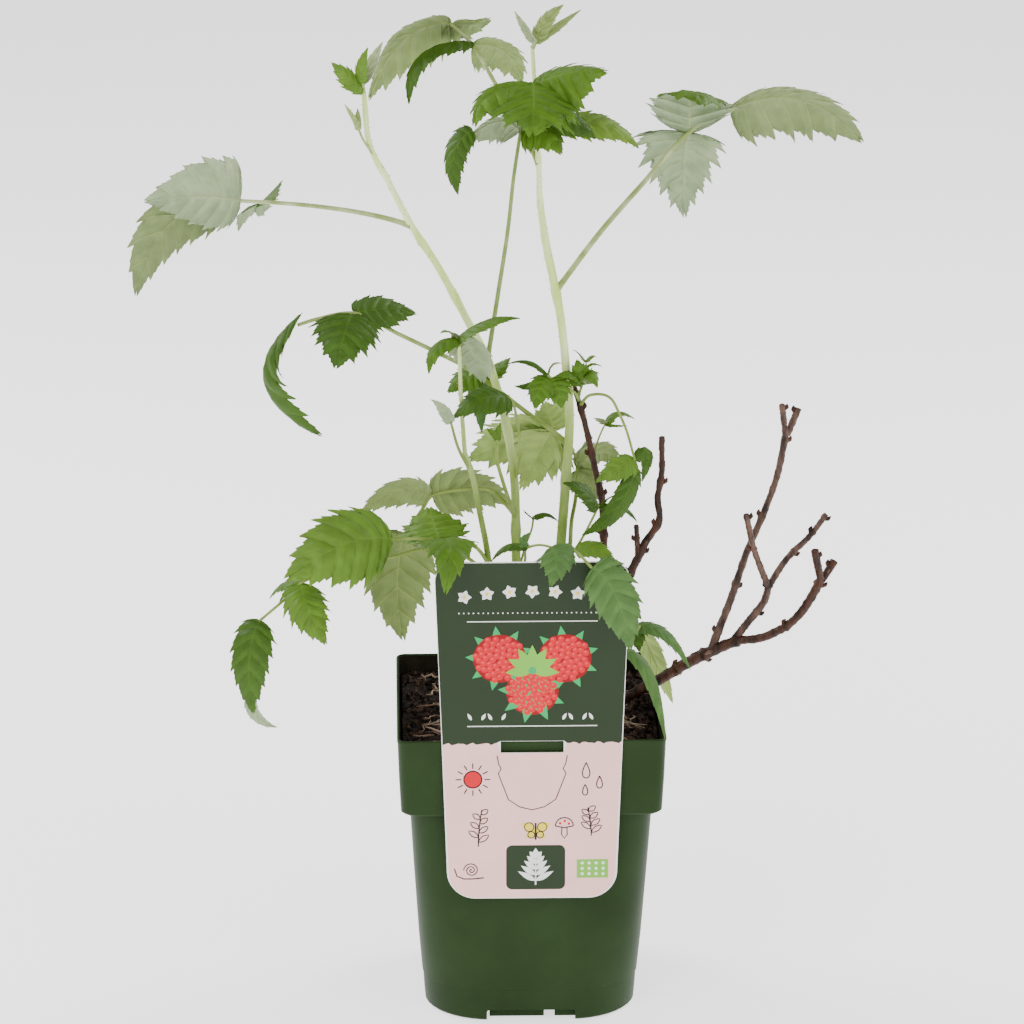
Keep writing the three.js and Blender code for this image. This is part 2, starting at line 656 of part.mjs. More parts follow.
// name: { cane, stalk points, stalk radii, more stalks, leaflets, pale }
const LEAVES = {
  leaf_high_left: {
    cane: "cane_left",
    stalk: [
      [-65, 0, 449],
      [-82, 8, 453],
      [-102, 16, 455],
      [-130, 26, 456],
      [-160, 34, 456],
    ],
    radii: [1.6, 1.3, 1.1],
    blades: [
      [[-159, 34, 456], [-186, 41, 456], [-214, 44, 454], [0.1, 0.95, 0], 42],
      [[-159, 34, 456], [-205, 56, 436], [-220, 50, 399], [-0.55, 0.65, 0.5], 43],
      [[-152, 32, 456], [-150, 46, 454], [-156, 66, 440], [-0.6, 0.6, 0.5], 30],
    ],
    pale: true,
  },
  leaf_tip_left: {
    cane: "cane_left",
    stalk: [
      [-90.8, -4, 526.5],
      [-91, -5, 532],
    ],
    radii: [1, 0.8],
    blades: [
      [[-91, -5, 529], [-99, -10, 536], [-108, -12, 545], [-0.4, -0.6, 0.7], 12],
      [[-91, -5, 531], [-91, -5, 541], [-88, -2, 552], [-0.2, -0.9, 0.2], 8],
      [[-91, -5, 531], [-88, 1, 540], [-79, 4, 552], [0.3, 0.8, 0.4], 8],
    ],
  },
  bud_left: {
    cane: "cane_left",
    stalk: [
      [-85, -1.5, 489],
      [-91.5, -6, 501],
      [-94, -8, 508],
    ],
    radii: [0.8, 0.6],
    blades: [
      [[-94, -8, 507], [-97, -9, 513], [-100, -10, 520], [-0.8, -0.5, 0.2], 6],
      [[-94, -8, 507], [-94, -7, 512], [-94, -5, 517], [0, -0.9, 0.2], 3],
    ],
    pale: true,
  },
  leaf_top_arch: {
    cane: "cane_right",
    stalk: [
      [5.5, 5, 484],
      [-1, 12, 496],
      [-10, 22, 510],
      [-19, 30, 525],
      [-31, 38, 544],
      [-43, 42, 555],
    ],
    radii: [1.4, 1.2, 1],
    blades: [
      [[-42, 42, 555], [-69, 42, 545], [-87, 30, 515], [-0.45, 0.7, 0.6], 34],
      [[-41, 42, 555], [-30, 50, 552], [-20, 56, 553], [0.1, 0.75, 0.65], 26],
      [[-31, 38, 545], [-58, 26, 540], [-66, 14, 517], [-0.45, 0.1, 0.9], 26],
      [[-31, 38, 544], [-13, 47, 536], [-3, 50, 519], [0.3, 0.8, 0.45], 27],
    ],
    pale: true,
  },
  leaf_top_front: {
    cane: "cane_right",
    stalk: [
      [3, 8, 521],
      [3, 0, 529],
      [2, -13, 532],
    ],
    radii: [1, 0.9],
    blades: [
      [[2, -12, 532], [21, -22, 537], [41, -30, 539], [0.1, -0.6, 0.8], 37],
      [[2, -12, 532], [-15, -22, 531], [-32, -28, 524], [-0.1, -0.75, 0.65], 32],
      [[2, -12, 532], [4, -37, 527], [5, -52, 512], [0, -0.75, 0.65], 42],
    ],
  },
  leaf_top_low: {
    cane: "cane_left",
    stalk: [
      [-23, 5, 371],
      [-17, -8, 415],
      [-12, -14, 451],
      [-9, -16, 480],
      [-5, -12, 506],
    ],
    radii: [1.4, 1.2, 1],
    blades: [
      [[-5, -12, 505], [-37, -25, 506], [-42, -32, 474], [-0.75, 0, 0.65], 33],
      [[-5, -12, 505], [5, -14, 501], [14, -17, 493], [0.1, -0.3, 0.9], 32],
      [[-5, -12, 505], [29, -12, 512], [59, -5, 494], [0.2, -0.35, 0.9], 26],
    ],
  },
  leaf_tip_right: {
    cane: "cane_right",
    stalk: [
      [2, 8, 548.6],
      [5, 8, 554],
    ],
    radii: [1, 0.9],
    blades: [
      [[3.3, 8, 551], [-2, 5, 560], [-8, 2, 570], [0.5, 0.8, 0.2], 6],
      [[4, 8, 552], [8, 6, 563], [18, 4, 573], [-0.3, -0.9, 0.1], 10],
      [[3.4, 8, 551], [16, 11, 560], [29, 14, 568], [-0.4, 0.3, 0.8], 7],
    ],
    pale: true,
  },
  leaf_high_right: {
    cane: "cane_right",
    stalk: [
      [14.8, 3, 411],
      [40, 14, 442],
      [64, 28, 466],
      [90, 43, 491],
      [116, 56, 502],
    ],
    radii: [1.7, 1.5, 1.2],
    blades: [
      [[90, 43, 491], [88, 50, 467], [90, 52, 441], [0.05, 0.95, -0.1], 48],
      [[91, 43, 491], [92, 44, 513], [96, 26, 511], [0, 0.6, 0.8], 54],
      [[115, 56, 502], [151, 62, 503], [189, 58, 482], [0.1, 0.85, 0.5], 37],
    ],
    pale: true,
  },
  leaf_mid_left: {
    cane: "cane_right",
    stalk: [
      [22.3, 6, 321],
      [13, 12, 328],
      [-1, 14, 338],
      [-13, 13, 348],
      [-33, 8, 365],
      [-49, 0, 376],
      [-72, -12, 391],
      [-97, -22, 406],
      [-117, -22, 403],
      [-128, -20, 399],
    ],
    radii: [1.5, 1.3, 1.2, 1],
    blades: [
      [[-98, -22, 406], [-101, -40, 400], [-106, -50, 383], [-0.05, -0.85, 0.55], 34],
      [[-97, -22, 406], [-79, -15, 408], [-63, -8, 401], [0.1, -0.6, 0.8], 19],
      [[-127, -20, 399], [-147, -26, 368], [-117, -30, 339], [-0.9, -0.2, 0.3], 24, -0.4],
    ],
  },
  leaf_shoot_tip: {
    cane: "shoot_stem",
    stalk: [
      [-39, -17, 386.4],
      [-40, -21, 392],
    ],
    radii: [1, 0.9],
    blades: [
      [[-40, -21, 391], [-25, -28, 402], [-6, -34, 406], [0.1, -0.3, 0.95], 14],
      [[-40, -20, 390], [-31, -14, 380], [-26, -8, 366], [0.5, 0.75, 0.4], 18],
      [[-40, -21, 391], [-52, -32, 388], [-56, -38, 376], [-0.5, -0.3, 0.8], 12],
      [[-40, -20, 391], [-45, -18, 394], [-48, -12, 393], [-0.3, 0.6, 0.7], 9],
    ],
  },
  leaf_shoot_bud: {
    cane: "shoot",
    stalk: [
      [-34.6, -14.4, 314],
      [-39.6, -19.6, 327],
      [-44, -24, 344],
    ],
    radii: [1, 0.7],
    blades: [[[-44, -24, 343], [-49, -26, 353], [-55, -28, 358], [-0.4, 0.5, 0.7], 7]],
    pale: true,
  },
  leaf_mid_dark: {
    cane: "cane_left",
    stalk: [
      [-8, 4, 300],
      [-5, -3, 318],
      [-6, -8, 334],
      [-9, -10, 350],
      [-12, -10, 355],
    ],
    radii: [0.9, 0.75],
    blades: [[[-11, -10, 353], [-28, -21, 356], [-42.5, -21, 345], [-0.2, -0.5, 0.85], 17]],
  },
  leaf_mid_behind: {
    cane: "cane_left",
    stalk: [
      [-22, 5, 367],
      [-24, 18, 359],
    ],
    radii: [0.9, 0.8],
    blades: [
      [[-24, 18, 359], [-33, 20, 359], [-45, 20, 350], [-0.1, 0.5, 0.85], 18],
      [[-24, 18, 359], [-17, 20, 362], [-10, 18, 369], [0.2, 0.6, 0.7], 9],
      [[-24, 18, 359], [-26, 19, 343], [-26, 17, 325], [0.3, -0.9, 0.2], 11],
    ],
  },
  leaf_node_left: {
    cane: "old_cane_middle",
    stalk: [
      [28.5, 10, 346],
      [25, -1, 354],
      [18, -6, 359],
      [10, -8, 366],
    ],
    radii: [0.8, 0.7],
    blades: [
      [[12, -8, 364], [16, -13, 358], [18, -15, 349], [0.1, -0.8, 0.6], 17],
      [[11, -8, 364], [6, -15, 360], [3, -21, 350], [-0.1, -0.8, 0.6], 15],
      [[11, -8, 365], [1, -4, 359], [-8, -6, 359], [0, -0.5, 0.85], 8],
      [[10, -8, 366], [-1, -5, 373], [-13, -2, 370], [0, -0.1, 1], 6],
      [[10, -8, 366], [13, -4, 371], [18, -3, 371], [0, 0.6, 0.8], 6],
    ],
  },
  leaf_node_top: {
    cane: "old_cane_middle",
    stalk: [
      [28.2, 10, 349],
      [30, 2, 358],
    ],
    radii: [0.8, 0.7],
    more: [
      [
        [30, 2, 357],
        [32, 3, 366],
        [32, 4, 371],
      ],
    ],
    blades: [
      [[30, 2, 357], [24, -4, 365], [14, -9, 365], [0.2, -0.4, 0.9], 9],
      [[30, 2, 357], [28, -2, 367], [27, 1, 372], [0, -0.8, 0.5], 14],
      [[30, 2, 357], [34, -3, 365], [38, -6, 358], [0.3, -0.5, 0.8], 13],
      [[32, 4, 370], [28, 4, 375], [24.6, 3, 377], [0, 0, 1], 5],
      [[32, 4, 370], [35, 5, 373], [38, 6, 372], [0, 0, 1], 5],
      [[32, 3, 367], [36, 4, 369], [41, 4, 367], [0, 0, 1], 4],
    ],
  },
  leaf_hanging_right: {
    cane: "old_cane_middle",
    stalk: [
      [29.2, 10.8, 343],
      [34, 2, 351],
      [42, -4, 353],
      [46, -6, 351],
      [50, -9, 344],
      [54, -12, 335],
      [58, -14, 321],
      [59, -14, 317],
    ],
    radii: [0.9, 0.8, 0.7],
    blades: [
      [[59, -14, 318], [49, -19, 315], [37, -22, 308], [-0.2, -0.75, 0.65], 19],
      [[58.5, -14, 317.5], [55, -22, 294], [29, -20, 276], [0.5, -0.75, 0.3], 15],
      [[59, -14, 318], [66, -11, 320], [63, -13, 305], [0.4, -0.8, 0.5], 8],
    ],
  },
  leaf_small_trio: {
    cane: "old_cane_middle",
    stalk: [
      [36.6, 12, 310],
      [39.5, 18, 320],
      [44, 20, 330],
    ],
    radii: [0.6, 0.5],
    blades: [
      [[44, 20, 329], [41, 19, 332], [37, 17, 333], [0, 0.5, 0.85], 6],
      [[44, 20, 329], [51, 22, 335], [60, 22, 331], [0, -0.1, 1], 8],
      [[44, 20, 329], [50, 17, 329], [56, 16, 329], [0, 0, 1], 5],
    ],
  },
  leaf_back_left: {
    cane: "cane_right",
    stalk: [
      [21, 6, 305],
      [19, 13, 314],
      [14, 20, 326],
    ],
    radii: [1.2, 1],
    blades: [
      [[14, 20, 325], [6, 30, 308], [-2, 33, 288], [0, 0.9, 0.2], 32],
      [[13.7, 20, 326], [-9, 33, 318], [-33, 38, 309], [0, 0.85, 0.4], 37],
      [[14, 20, 326], [11, 32, 331], [14, 42, 335], [0, 0.8, 0.5], 26],
    ],
    pale: true,
  },
  leaf_back_right: {
    cane: "cane_right",
    stalk: [
      [16.5, 6.4, 234],
      [21.5, 7, 248],
      [23.5, 7.5, 261],
      [24.5, 12, 274],
      [27, 18, 286],
      [28, 23, 303],
    ],
    radii: [1.4, 1.2, 1],
    blades: [
      [[28, 22.8, 302], [41, 32, 309], [52, 36, 300], [0.05, 0.85, 0.4], 23],
      [[28, 22.5, 301], [34, 29, 292], [41, 31, 281], [0, 0.85, 0.35], 20],
      [[28, 22.9, 302.4], [32, 31, 310], [37, 37, 316], [-0.05, 0.8, 0.5], 13],
    ],
    pale: true,
  },
  young_shoot: {
    cane: "cane_left",
    stalk: [
      [-7.6, 3.2, 279],
      [-11, -7, 292],
      [-15, -12, 306],
      [-18, -15, 319],
      [-18, -16, 331],
    ],
    radii: [1.3, 1.1, 0.9],
    blades: [
      [[-18, -16, 330], [-20, -16, 334], [-24, -17, 338], [-0.5, -0.7, 0.4], 4],
      [[-18, -16, 330], [-17.5, -15.5, 335], [-16, -14, 340], [0.2, -0.9, 0.2], 4.5],
    ],
    pale: true,
  },
  leaf_low_left_back: {
    cane: "cane_left",
    stalk: [
      [-7.5, 3, 281],
      [-14, 12, 286],
      [-21, 17, 291],
      [-32, 20, 291],
      [-50, 22, 288],
      [-55, 22, 286],
      [-60, 19, 279],
      [-70, 13, 267],
    ],
    radii: [1.3, 1.1, 0.9],
    blades: [
      [[-54, 22, 286], [-31, 25, 289], [-10, 23, 281], [0, 0.92, 0.1], 29, -0.05],
      [[-55, 22, 286], [-73, 28, 288], [-95, 26, 275], [0, 0.9, 0.25], 19],
      [[-70, 13, 268], [-74, 8, 238], [-71, -2, 209], [-0.05, 0.93, -0.1], 41],
    ],
    pale: true,
  },
  leaf_low_left_front: {
    cane: "shoot",
    stalk: [
      [-22.8, -14, 258],
      [-30, -19, 269],
      [-40, -26, 275],
      [-51, -30, 277],
      [-64, -30, 278],
      [-78, -28, 277],
    ],
    radii: [1.1, 1, 0.8],
    blades: [
      [[-51, -30, 277], [-53, -14, 281], [-54, 2, 284], [0, -0.4, 0.9], 32],
      [[-51, -30, 277], [-47, -67, 288], [-49, -88, 266], [0.05, -0.75, 0.65], 33, -0.08],
      [[-77, -28, 277], [-103, -43, 279], [-136, -52, 262], [-0.1, -0.8, 0.55], 44],
    ],
  },
  leaf_low_left_far: {
    cane: "shoot",
    stalk: [
      [-22, -13.6, 247],
      [-32, -13, 259],
      [-44, -12, 265],
      [-60, -12, 266],
      [-74, -14, 263],
      [-106, -18, 257],
      [-128, -26, 251],
      [-137, -30, 243],
      [-152, -34, 231],
    ],
    radii: [1.1, 1, 0.9, 0.8],
    blades: [
      [[-128, -26, 251], [-124, -40, 240], [-114, -50, 223], [0.1, -0.85, 0.5], 24],
      [[-128, -26, 251], [-138, -14, 247], [-146, -8, 236], [-0.3, -0.2, 0.9], 13],
      [[-151, -34, 232], [-157, -44, 205], [-141.5, -37, 169], [-0.2, -0.9, 0.4], 24],
    ],
  },
  leaf_over_label_right: {
    cane: "cane_right",
    stalk: [
      [17, 6.2, 242],
      [19, -20, 266],
      [20, -64, 283],
      [25, -77, 284],
      [32, -87, 279],
    ],
    radii: [1.1, 1, 0.8],
    blades: [[[32, -86, 279], [43, -91, 261], [54, -92, 232], [0.1, -0.9, 0.4], 29, -0.1]],
  },
  leaf_over_label_middle: {
    cane: "cane_left",
    stalk: [
      [-6, 1.4, 236],
      [-3, -30, 264],
      [-2, -60, 282],
      [0, -71, 286],
    ],
    radii: [0.9, 0.8, 0.7],
    blades: [
      [[0, -70, 286], [9, -83, 284], [10, -91, 269], [0, -0.8, 0.6], 22],
      [[-2, -60, 281.6], [-13, -58, 282], [-22, -62, 275], [-0.3, -0.3, 0.9], 7],
      [[-2, -60, 281.6], [-4, -58, 285], [-1, -58, 290], [0.5, -0.8, 0.2], 6],
    ],
  },
  leaf_crown_right: {
    cane: "cane_right",
    stalk: [
      [17.6, 6.1, 251],
      [23, -2, 260],
      [27, -6, 263],
    ],
    radii: [0.8, 0.7],
    blades: [[[26, -5, 262], [36, -12, 266], [48, -22, 261], [0, -0.6, 0.8], 13]],
  },
  leaf_crown_middle: {
    cane: "cane_left",
    stalk: [
      [-6.7, 1.7, 239],
      [-4, 8, 252],
      [-1, 10, 262],
      [2, 11, 270],
      [3, 11, 277],
    ],
    radii: [0.75, 0.6],
    blades: [
      [[3, 11, 276], [0, 10, 279], [-3, 9, 282], [0, 0, 1], 5],
      [[3, 11, 276], [10, 14, 278], [17, 15, 273], [0, -0.2, 1], 6],
    ],
  },
  leaf_crown_dark: {
    cane: "cane_right",
    stalk: [
      [17, 6.2, 245],
      [23.5, 2.5, 256],
      [31, 1, 269],
      [39.5, 0, 287],
    ],
    radii: [0.8, 0.7],
    blades: [
      [[39, 0, 286], [30, -5, 298], [19, -5, 302], [0, -0.5, 0.85], 14],
      [[39, 0, 286], [52, 4, 285], [61, 4, 276], [0, -0.3, 0.9], 7],
      [[39, 0, 286], [45, 5, 290], [51, 7, 291], [0, 0.5, 0.85], 6],
    ],
  },
  leaf_low_right: {
    cane: "old_cane_right",
    stalk: [
      [45.6, -6.9, 198],
      [52, -20, 214],
      [61, -34, 227],
    ],
    radii: [1, 0.8],
    blades: [
      [[60, -33, 226], [75, -38, 227], [89, -40, 203], [0.3, -0.3, 0.9], 11],
      [[60, -33, 226], [60, -36, 220], [61, -38, 213], [-0.3, -0.8, 0.4], 9],
      [[60, -33, 226], [67, -60, 206], [74, -82, 178], [0.3, 0.7, 0.6], 15],
    ],
  },
  leaf_low_right_back: {
    cane: "old_cane_middle",
    stalk: [
      [41.4, 15, 188],
      [54, 21, 201],
      [66, 19, 209],
    ],
    radii: [0.9, 0.8],
    blades: [[[65, 19, 209], [76, 19, 187], [85, 23, 161], [-0.3, 0.8, 0.5], 15]],
    pale: true,
  },
  leaf_rear_left: {
    cane: "cane_left",
    stalk: [
      [-5.7, 0.8, 200],
      [-14, 20, 215],
      [-25, 37, 221],
    ],
    radii: [1.1, 0.8],
    blades: [
      [[-24, 36, 221], [-34, 54, 219], [-42, 70, 203], [-0.2, 0.4, 0.9], 28],
      [[-23, 34, 220.5], [-36, 34, 222], [-49, 32, 211], [-0.2, 0.1, 1], 22],
      [[-23, 34, 220.5], [-14, 46, 220], [-7, 58, 208], [0.2, 0.3, 0.9], 20],
    ],
  },
  leaf_rear_right: {
    cane: "cane_right",
    stalk: [
      [13.7, 7.3, 194],
      [22, 26, 208],
      [31, 41, 212],
    ],
    radii: [1.1, 0.8],
    blades: [
      [[30, 40, 212], [38, 56, 209], [44, 70, 190], [0.2, 0.4, 0.9], 28],
      [[29, 38, 211.5], [18, 47, 212], [9, 56, 200], [-0.2, 0.3, 0.9], 20],
      [[29, 38, 211.5], [42, 37, 213], [54, 36, 200], [0.3, 0.1, 0.9], 20],
    ],
  },
};

function makeLeaf({ cane, stalk, radii, more = [], blades }) {
  let solid = limb(stalk, radii, { sides: radii[0] > 1.05 ? 5 : 4, step: 22 });
  for (const points of more) {
    solid = solid.add(limb(points, [0.5, 0.45], { sides: 4, step: 8 }));
  }
  for (const spec of blades) {
    solid = solid.add(leaflet(spec));
  }
  return largest(solid.subtract(caneLimb(cane, STALK_GAP)));
}

// ---------------------------------------------------------------- the plant
const plant = new THREE.Group();

function place(name, solid, colour, roughness) {
  const material = new THREE.MeshStandardMaterial({ color: colour, roughness, metalness: 0 });
  const mesh = new THREE.Mesh(geometryOf(solid), material);
  mesh.name = name;
  plant.add(mesh);
}

place("pot", makePot(), COLOURS.pot, 0.5);
place("soil", makeSoil(), COLOURS.soil, 0.95);
place("label", makeLabel(), COLOURS.label, 0.55);
for (const name of Object.keys(CANES)) {
  place(name, makeCane(name), isOld(name) ? COLOURS.bark : COLOURS.cane, isOld(name) ? 0.8 : 0.6);
}
for (const [name, spec] of Object.entries(LEAVES)) {
  place(name, makeLeaf(spec), spec.pale ? COLOURS.pale : COLOURS.leaf, 0.6);
}

export default plant;
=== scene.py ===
# A young raspberry plant in a square nursery pot, dressed for display: +Z up, the ground at
# zero, the pot's label facing -Y. Sizes and places are written in millimetres, and MM turns
# them into Blender's metres. The sections follow the order in which the plant is potted: pot,
# compost, label, canes, old canes, leaves, then the room.
import math

import bmesh
import bpy
import numpy as np
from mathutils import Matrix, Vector


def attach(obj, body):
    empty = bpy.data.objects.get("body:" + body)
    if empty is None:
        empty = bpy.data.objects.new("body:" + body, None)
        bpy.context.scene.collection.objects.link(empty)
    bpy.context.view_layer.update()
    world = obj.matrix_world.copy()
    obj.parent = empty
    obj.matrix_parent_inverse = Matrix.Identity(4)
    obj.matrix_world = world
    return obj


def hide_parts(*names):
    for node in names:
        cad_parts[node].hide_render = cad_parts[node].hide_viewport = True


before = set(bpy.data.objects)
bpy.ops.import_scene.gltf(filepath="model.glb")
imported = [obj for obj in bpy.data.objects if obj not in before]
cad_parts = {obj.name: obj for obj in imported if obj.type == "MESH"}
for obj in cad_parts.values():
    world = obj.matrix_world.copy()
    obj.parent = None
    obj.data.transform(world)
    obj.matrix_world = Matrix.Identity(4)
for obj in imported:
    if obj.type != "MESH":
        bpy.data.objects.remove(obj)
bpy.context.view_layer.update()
MM = 0.001


# ------------------------------------------------------------------ pot
# A square nursery pot, moulded in dark green recycled plastic: a deep collar on a tapering
# body with round corners, and a foot ring with a drainage notch in each side.
RIM_HALF = 75
POT_TOP = 174
COLLAR_FOOT = 128.6
COLLAR_FOOT_HALF = 73
BODY_TOP_HALF = 68.2
FOOT_HALF = 59.8
WALL = 1.5
FLOOR_LOW = 7
FLOOR_TOP = 9
LINE_HEIGHT = 19
NOTCH_WIDTH = 50
NOTCH_DEPTH = 12
NOTCH_HEIGHT = 6.4
TABS = [(-8, 31), (20, 13)]  # middle along the side, and width
TAB_SETBACK = 7
TAB_THICK = 1.6
FITTING_HEIGHT = FLOOR_LOW + 0.4
PAD_RADIUS = 15
POT_RINGS = [  # height, half width and corner radius, from under the floor round to its top
    (FLOOR_LOW, FOOT_HALF - 2, 35),
    (0.5, FOOT_HALF - 2.3, 35.3),
    (0, FOOT_HALF - 1.9, 36.2),
    (0.1, FOOT_HALF - 0.9, 37),
    (1.2, FOOT_HALF, 37),
    (10, FOOT_HALF + 0.6, 36),
    (LINE_HEIGHT, FOOT_HALF + 1.1, 35),
    (LINE_HEIGHT + 0.5, FOOT_HALF + 1.55, 35),
    (45, FOOT_HALF + 3.5, 30),
    (90, FOOT_HALF + 6.2, 23),
    (COLLAR_FOOT - 1.5, BODY_TOP_HALF - 0.2, 17),
    (COLLAR_FOOT - 0.2, BODY_TOP_HALF + 1.2, 13),
    (COLLAR_FOOT, COLLAR_FOOT_HALF - 1.1, 9),
    (COLLAR_FOOT + 1.3, COLLAR_FOOT_HALF, 8),
    (150, COLLAR_FOOT_HALF + 1, 6.8),
    (POT_TOP - 2.4, RIM_HALF - 0.3, 5.6),
    (POT_TOP - 1.6, RIM_HALF, 5.4),
    (POT_TOP - 0.5, RIM_HALF, 5.4),
    (POT_TOP, RIM_HALF - 0.5, 5),
    (POT_TOP - 0.1, RIM_HALF - WALL + 0.3, 4.3),
    (POT_TOP - 1.1, RIM_HALF - WALL, 4),
    (COLLAR_FOOT + 4, COLLAR_FOOT_HALF - WALL, 7),
    (COLLAR_FOOT + 0.7, BODY_TOP_HALF - WALL, 15.5),
    (FLOOR_TOP + 2, FOOT_HALF + 0.5 - WALL, 33.5),
    (FLOOR_TOP, FOOT_HALF - 1.5 - WALL, 31.5),
]


def metres(*values):
    return [value * MM for value in values]


def link_new(name, data):
    """An object that shows a mesh, curve, lamp or camera."""
    thing = bpy.data.objects.new(name, data)
    bpy.context.collection.objects.link(thing)
    return thing


def select_only(*pieces):
    """Selects those pieces alone, the last of them active."""
    bpy.ops.object.select_all(action="DESELECT")
    for piece in pieces:
        piece.select_set(True)
        bpy.context.view_layer.objects.active = piece


def start_piece(name):
    """Opens an empty mesh of that name in edit mode."""
    piece = link_new(name, bpy.data.meshes.new(name))
    select_only(piece)
    bpy.ops.object.mode_set(mode="EDIT")
    return piece


def close_piece():
    """Turns the faces of the mesh being edited outwards, and leaves edit mode."""
    bpy.ops.mesh.select_all(action="SELECT")
    bpy.ops.mesh.normals_make_consistent(inside=False)
    bpy.ops.object.mode_set(mode="OBJECT")


def extrude(*way):
    """Draws what is selected out along a way given in millimetres."""
    bpy.ops.mesh.extrude_region_move(TRANSFORM_OT_translate={"value": metres(*way)})


def apply_modifier(piece, kind, **settings):
    bpy.context.view_layer.objects.active = piece
    modifier = piece.modifiers.new(kind, kind)
    for key, value in settings.items():
        setattr(modifier, key, value)
    bpy.ops.object.modifier_apply(modifier=modifier.name)


def select_level(piece, *levels, axis=2):
    """Selects the edges that lie level along an axis, at those heights, and nothing else."""
    bpy.ops.mesh.select_all(action="DESELECT")
    shape = bmesh.from_edit_mesh(piece.data)
    for edge in shape.edges:
        for level in levels:
            if all(abs(vert.co[axis] - level * MM) < 0.01 * MM for vert in edge.verts):
                edge.select_set(True)
    bmesh.update_edit_mesh(piece.data)


def ring_stack(name, rings):
    """A closed body through level square rings with round corners."""
    piece = start_piece(name)
    heights = [height for height, _, _ in rings]
    for height, half, radius in rings:
        bpy.ops.mesh.primitive_plane_add(size=2 * half * MM, location=metres(0, 0, height))
        bpy.ops.mesh.bevel(offset=radius * MM, segments=10, affect="VERTICES")
        bpy.ops.mesh.delete(type="ONLY_FACE")
    for low, high in zip(heights, heights[1:]):
        select_level(piece, low, high)
        bpy.ops.mesh.bridge_edge_loops()
    for height in (heights[0], heights[-1]):
        select_level(piece, height)
        bpy.ops.mesh.edge_face_add()
    close_piece()
    return piece


def box(length, depth, height, middle, bevel=0, segments=2, turned=False):
    """A block about a middle point. Turned, its length runs along Y."""
    bpy.ops.mesh.primitive_cube_add(size=1, location=metres(*middle))
    block = bpy.context.object
    block.scale = metres(depth, length, height) if turned else metres(length, depth, height)
    bpy.ops.object.transform_apply(location=False, rotation=False, scale=True)
    if bevel:
        apply_modifier(block, "BEVEL", width=bevel * MM, segments=segments)
    return block


def cut(piece, block):
    """Takes the block's shape out of the piece."""
    apply_modifier(piece, "BOOLEAN", object=block, operation="DIFFERENCE", solver="EXACT")
    bpy.data.objects.remove(block)


def colour(tone, shade=1.0):
    """A surface colour given as 0 to 255 screen values, made linear and dimmed."""
    return tuple(shade * (c / 255) ** 2.2 for c in tone) + (1.0,)


def set_inputs(node, **values):
    """Sets a node's inputs by name, with _ for a space."""
    for socket, value in values.items():
        node.inputs[socket.replace("_", " ")].default_value = value
    return node


def new_material(name, roughness, bump, tones, cloud=None, spread=(0.35, 0.65), shades=(1, 1),
                 gloss=0.2, stretch=(1, 1, 1), high_tones=None, heights=None):
    """A Principled material with fine bump of a depth and a scale. Its base colour is one plain
    tone, or wanders between two, and high tones take over from one height to the other."""
    material = bpy.data.materials.new(name)
    material.use_nodes = True
    nodes, links = material.node_tree.nodes, material.node_tree.links
    shader = set_inputs(nodes["Principled BSDF"], Roughness=roughness, Specular_IOR_Level=gloss)

    def add(kind, **values):
        return set_inputs(nodes.new("ShaderNode" + kind), **values)

    def link(source, output, target, socket):
        links.new(source.outputs[output], target.inputs[socket])

    def ramp(pair):
        band = add("ValToRGB")
        for stop, position, tone, shade in zip(band.color_ramp.elements, spread, pair, shades):
            stop.position = position
            stop.color = colour(tone, shade)
        link(clouds, "Fac", band, "Fac")
        return band

    place = add("TexCoord")
    turn = add("Mapping", Scale=stretch)
    grain = add("TexNoise", Scale=bump[1], Detail=4.0)
    relief = add("Bump", Strength=0.6, Distance=bump[0] * MM)
    link(place, "Object", turn, "Vector")
    link(turn, "Vector", grain, "Vector")
    link(grain, "Fac", relief, "Height")
    link(relief, "Normal", shader, "Normal")
    if not cloud:
        set_inputs(shader, Base_Color=colour(tones[0]))
        return material
    clouds = add("TexNoise", Scale=cloud, Detail=5.0)
    link(turn, "Vector", clouds, "Vector")
    low = ramp(tones)
    if not high_tones:
        link(low, "Color", shader, "Base Color")
        return material
    high = ramp(high_tones)
    split = add("SeparateXYZ")
    height = add("MapRange", From_Min=heights[0] * MM, From_Max=heights[1] * MM)
    blend = add("Mix")
    blend.data_type = "RGBA"
    link(place, "Object", split, "Vector")
    link(split, "Z", height, "Value")
    link(height, "Result", blend, "Factor")
    link(low, "Color", blend, "A")
    link(high, "Color", blend, "B")
    link(blend, "Result", shader, "Base Color")
    return material


def finish_piece(piece, slot, *nodes, materials=()):
    """Gives a piece its materials and its body, and hides the CAD nodes that it stands for. Its slot is
    not used.
    """
    for material in materials:
        piece.data.materials.append(material)
    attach(piece, "root")
    if nodes:
        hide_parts(*nodes)


pot = ring_stack("pot_shell", POT_RINGS)
fittings = []
for side in range(4):
    angle = side * math.pi / 2
    out = Vector((math.sin(angle), -math.cos(angle), 0))
    along = Vector((math.cos(angle), math.sin(angle), 0)) * (1 if side < 2 else -1)
    turned = side % 2 == 1
    notch = box(NOTCH_WIDTH, NOTCH_DEPTH, 2 * NOTCH_HEIGHT, out * FOOT_HALF, 1.2, 3, turned)
    cut(pot, notch)
    for middle, wide in TABS:
        spot = out * (FOOT_HALF - TAB_SETBACK) + along * middle
        spot.z = FITTING_HEIGHT / 2
        fittings.append(box(wide, TAB_THICK, FITTING_HEIGHT, spot, 0.4, turned=turned))
bpy.ops.mesh.primitive_cylinder_add(
    vertices=48, radius=PAD_RADIUS * MM, depth=FITTING_HEIGHT * MM,
    location=metres(0, 0, FITTING_HEIGHT / 2),
)
pad = bpy.context.object
apply_modifier(pad, "BEVEL", width=0.6 * MM, segments=2)
select_only(*fittings, pad, pot)
bpy.ops.object.join()
bpy.ops.object.shade_smooth_by_angle(angle=math.radians(32))
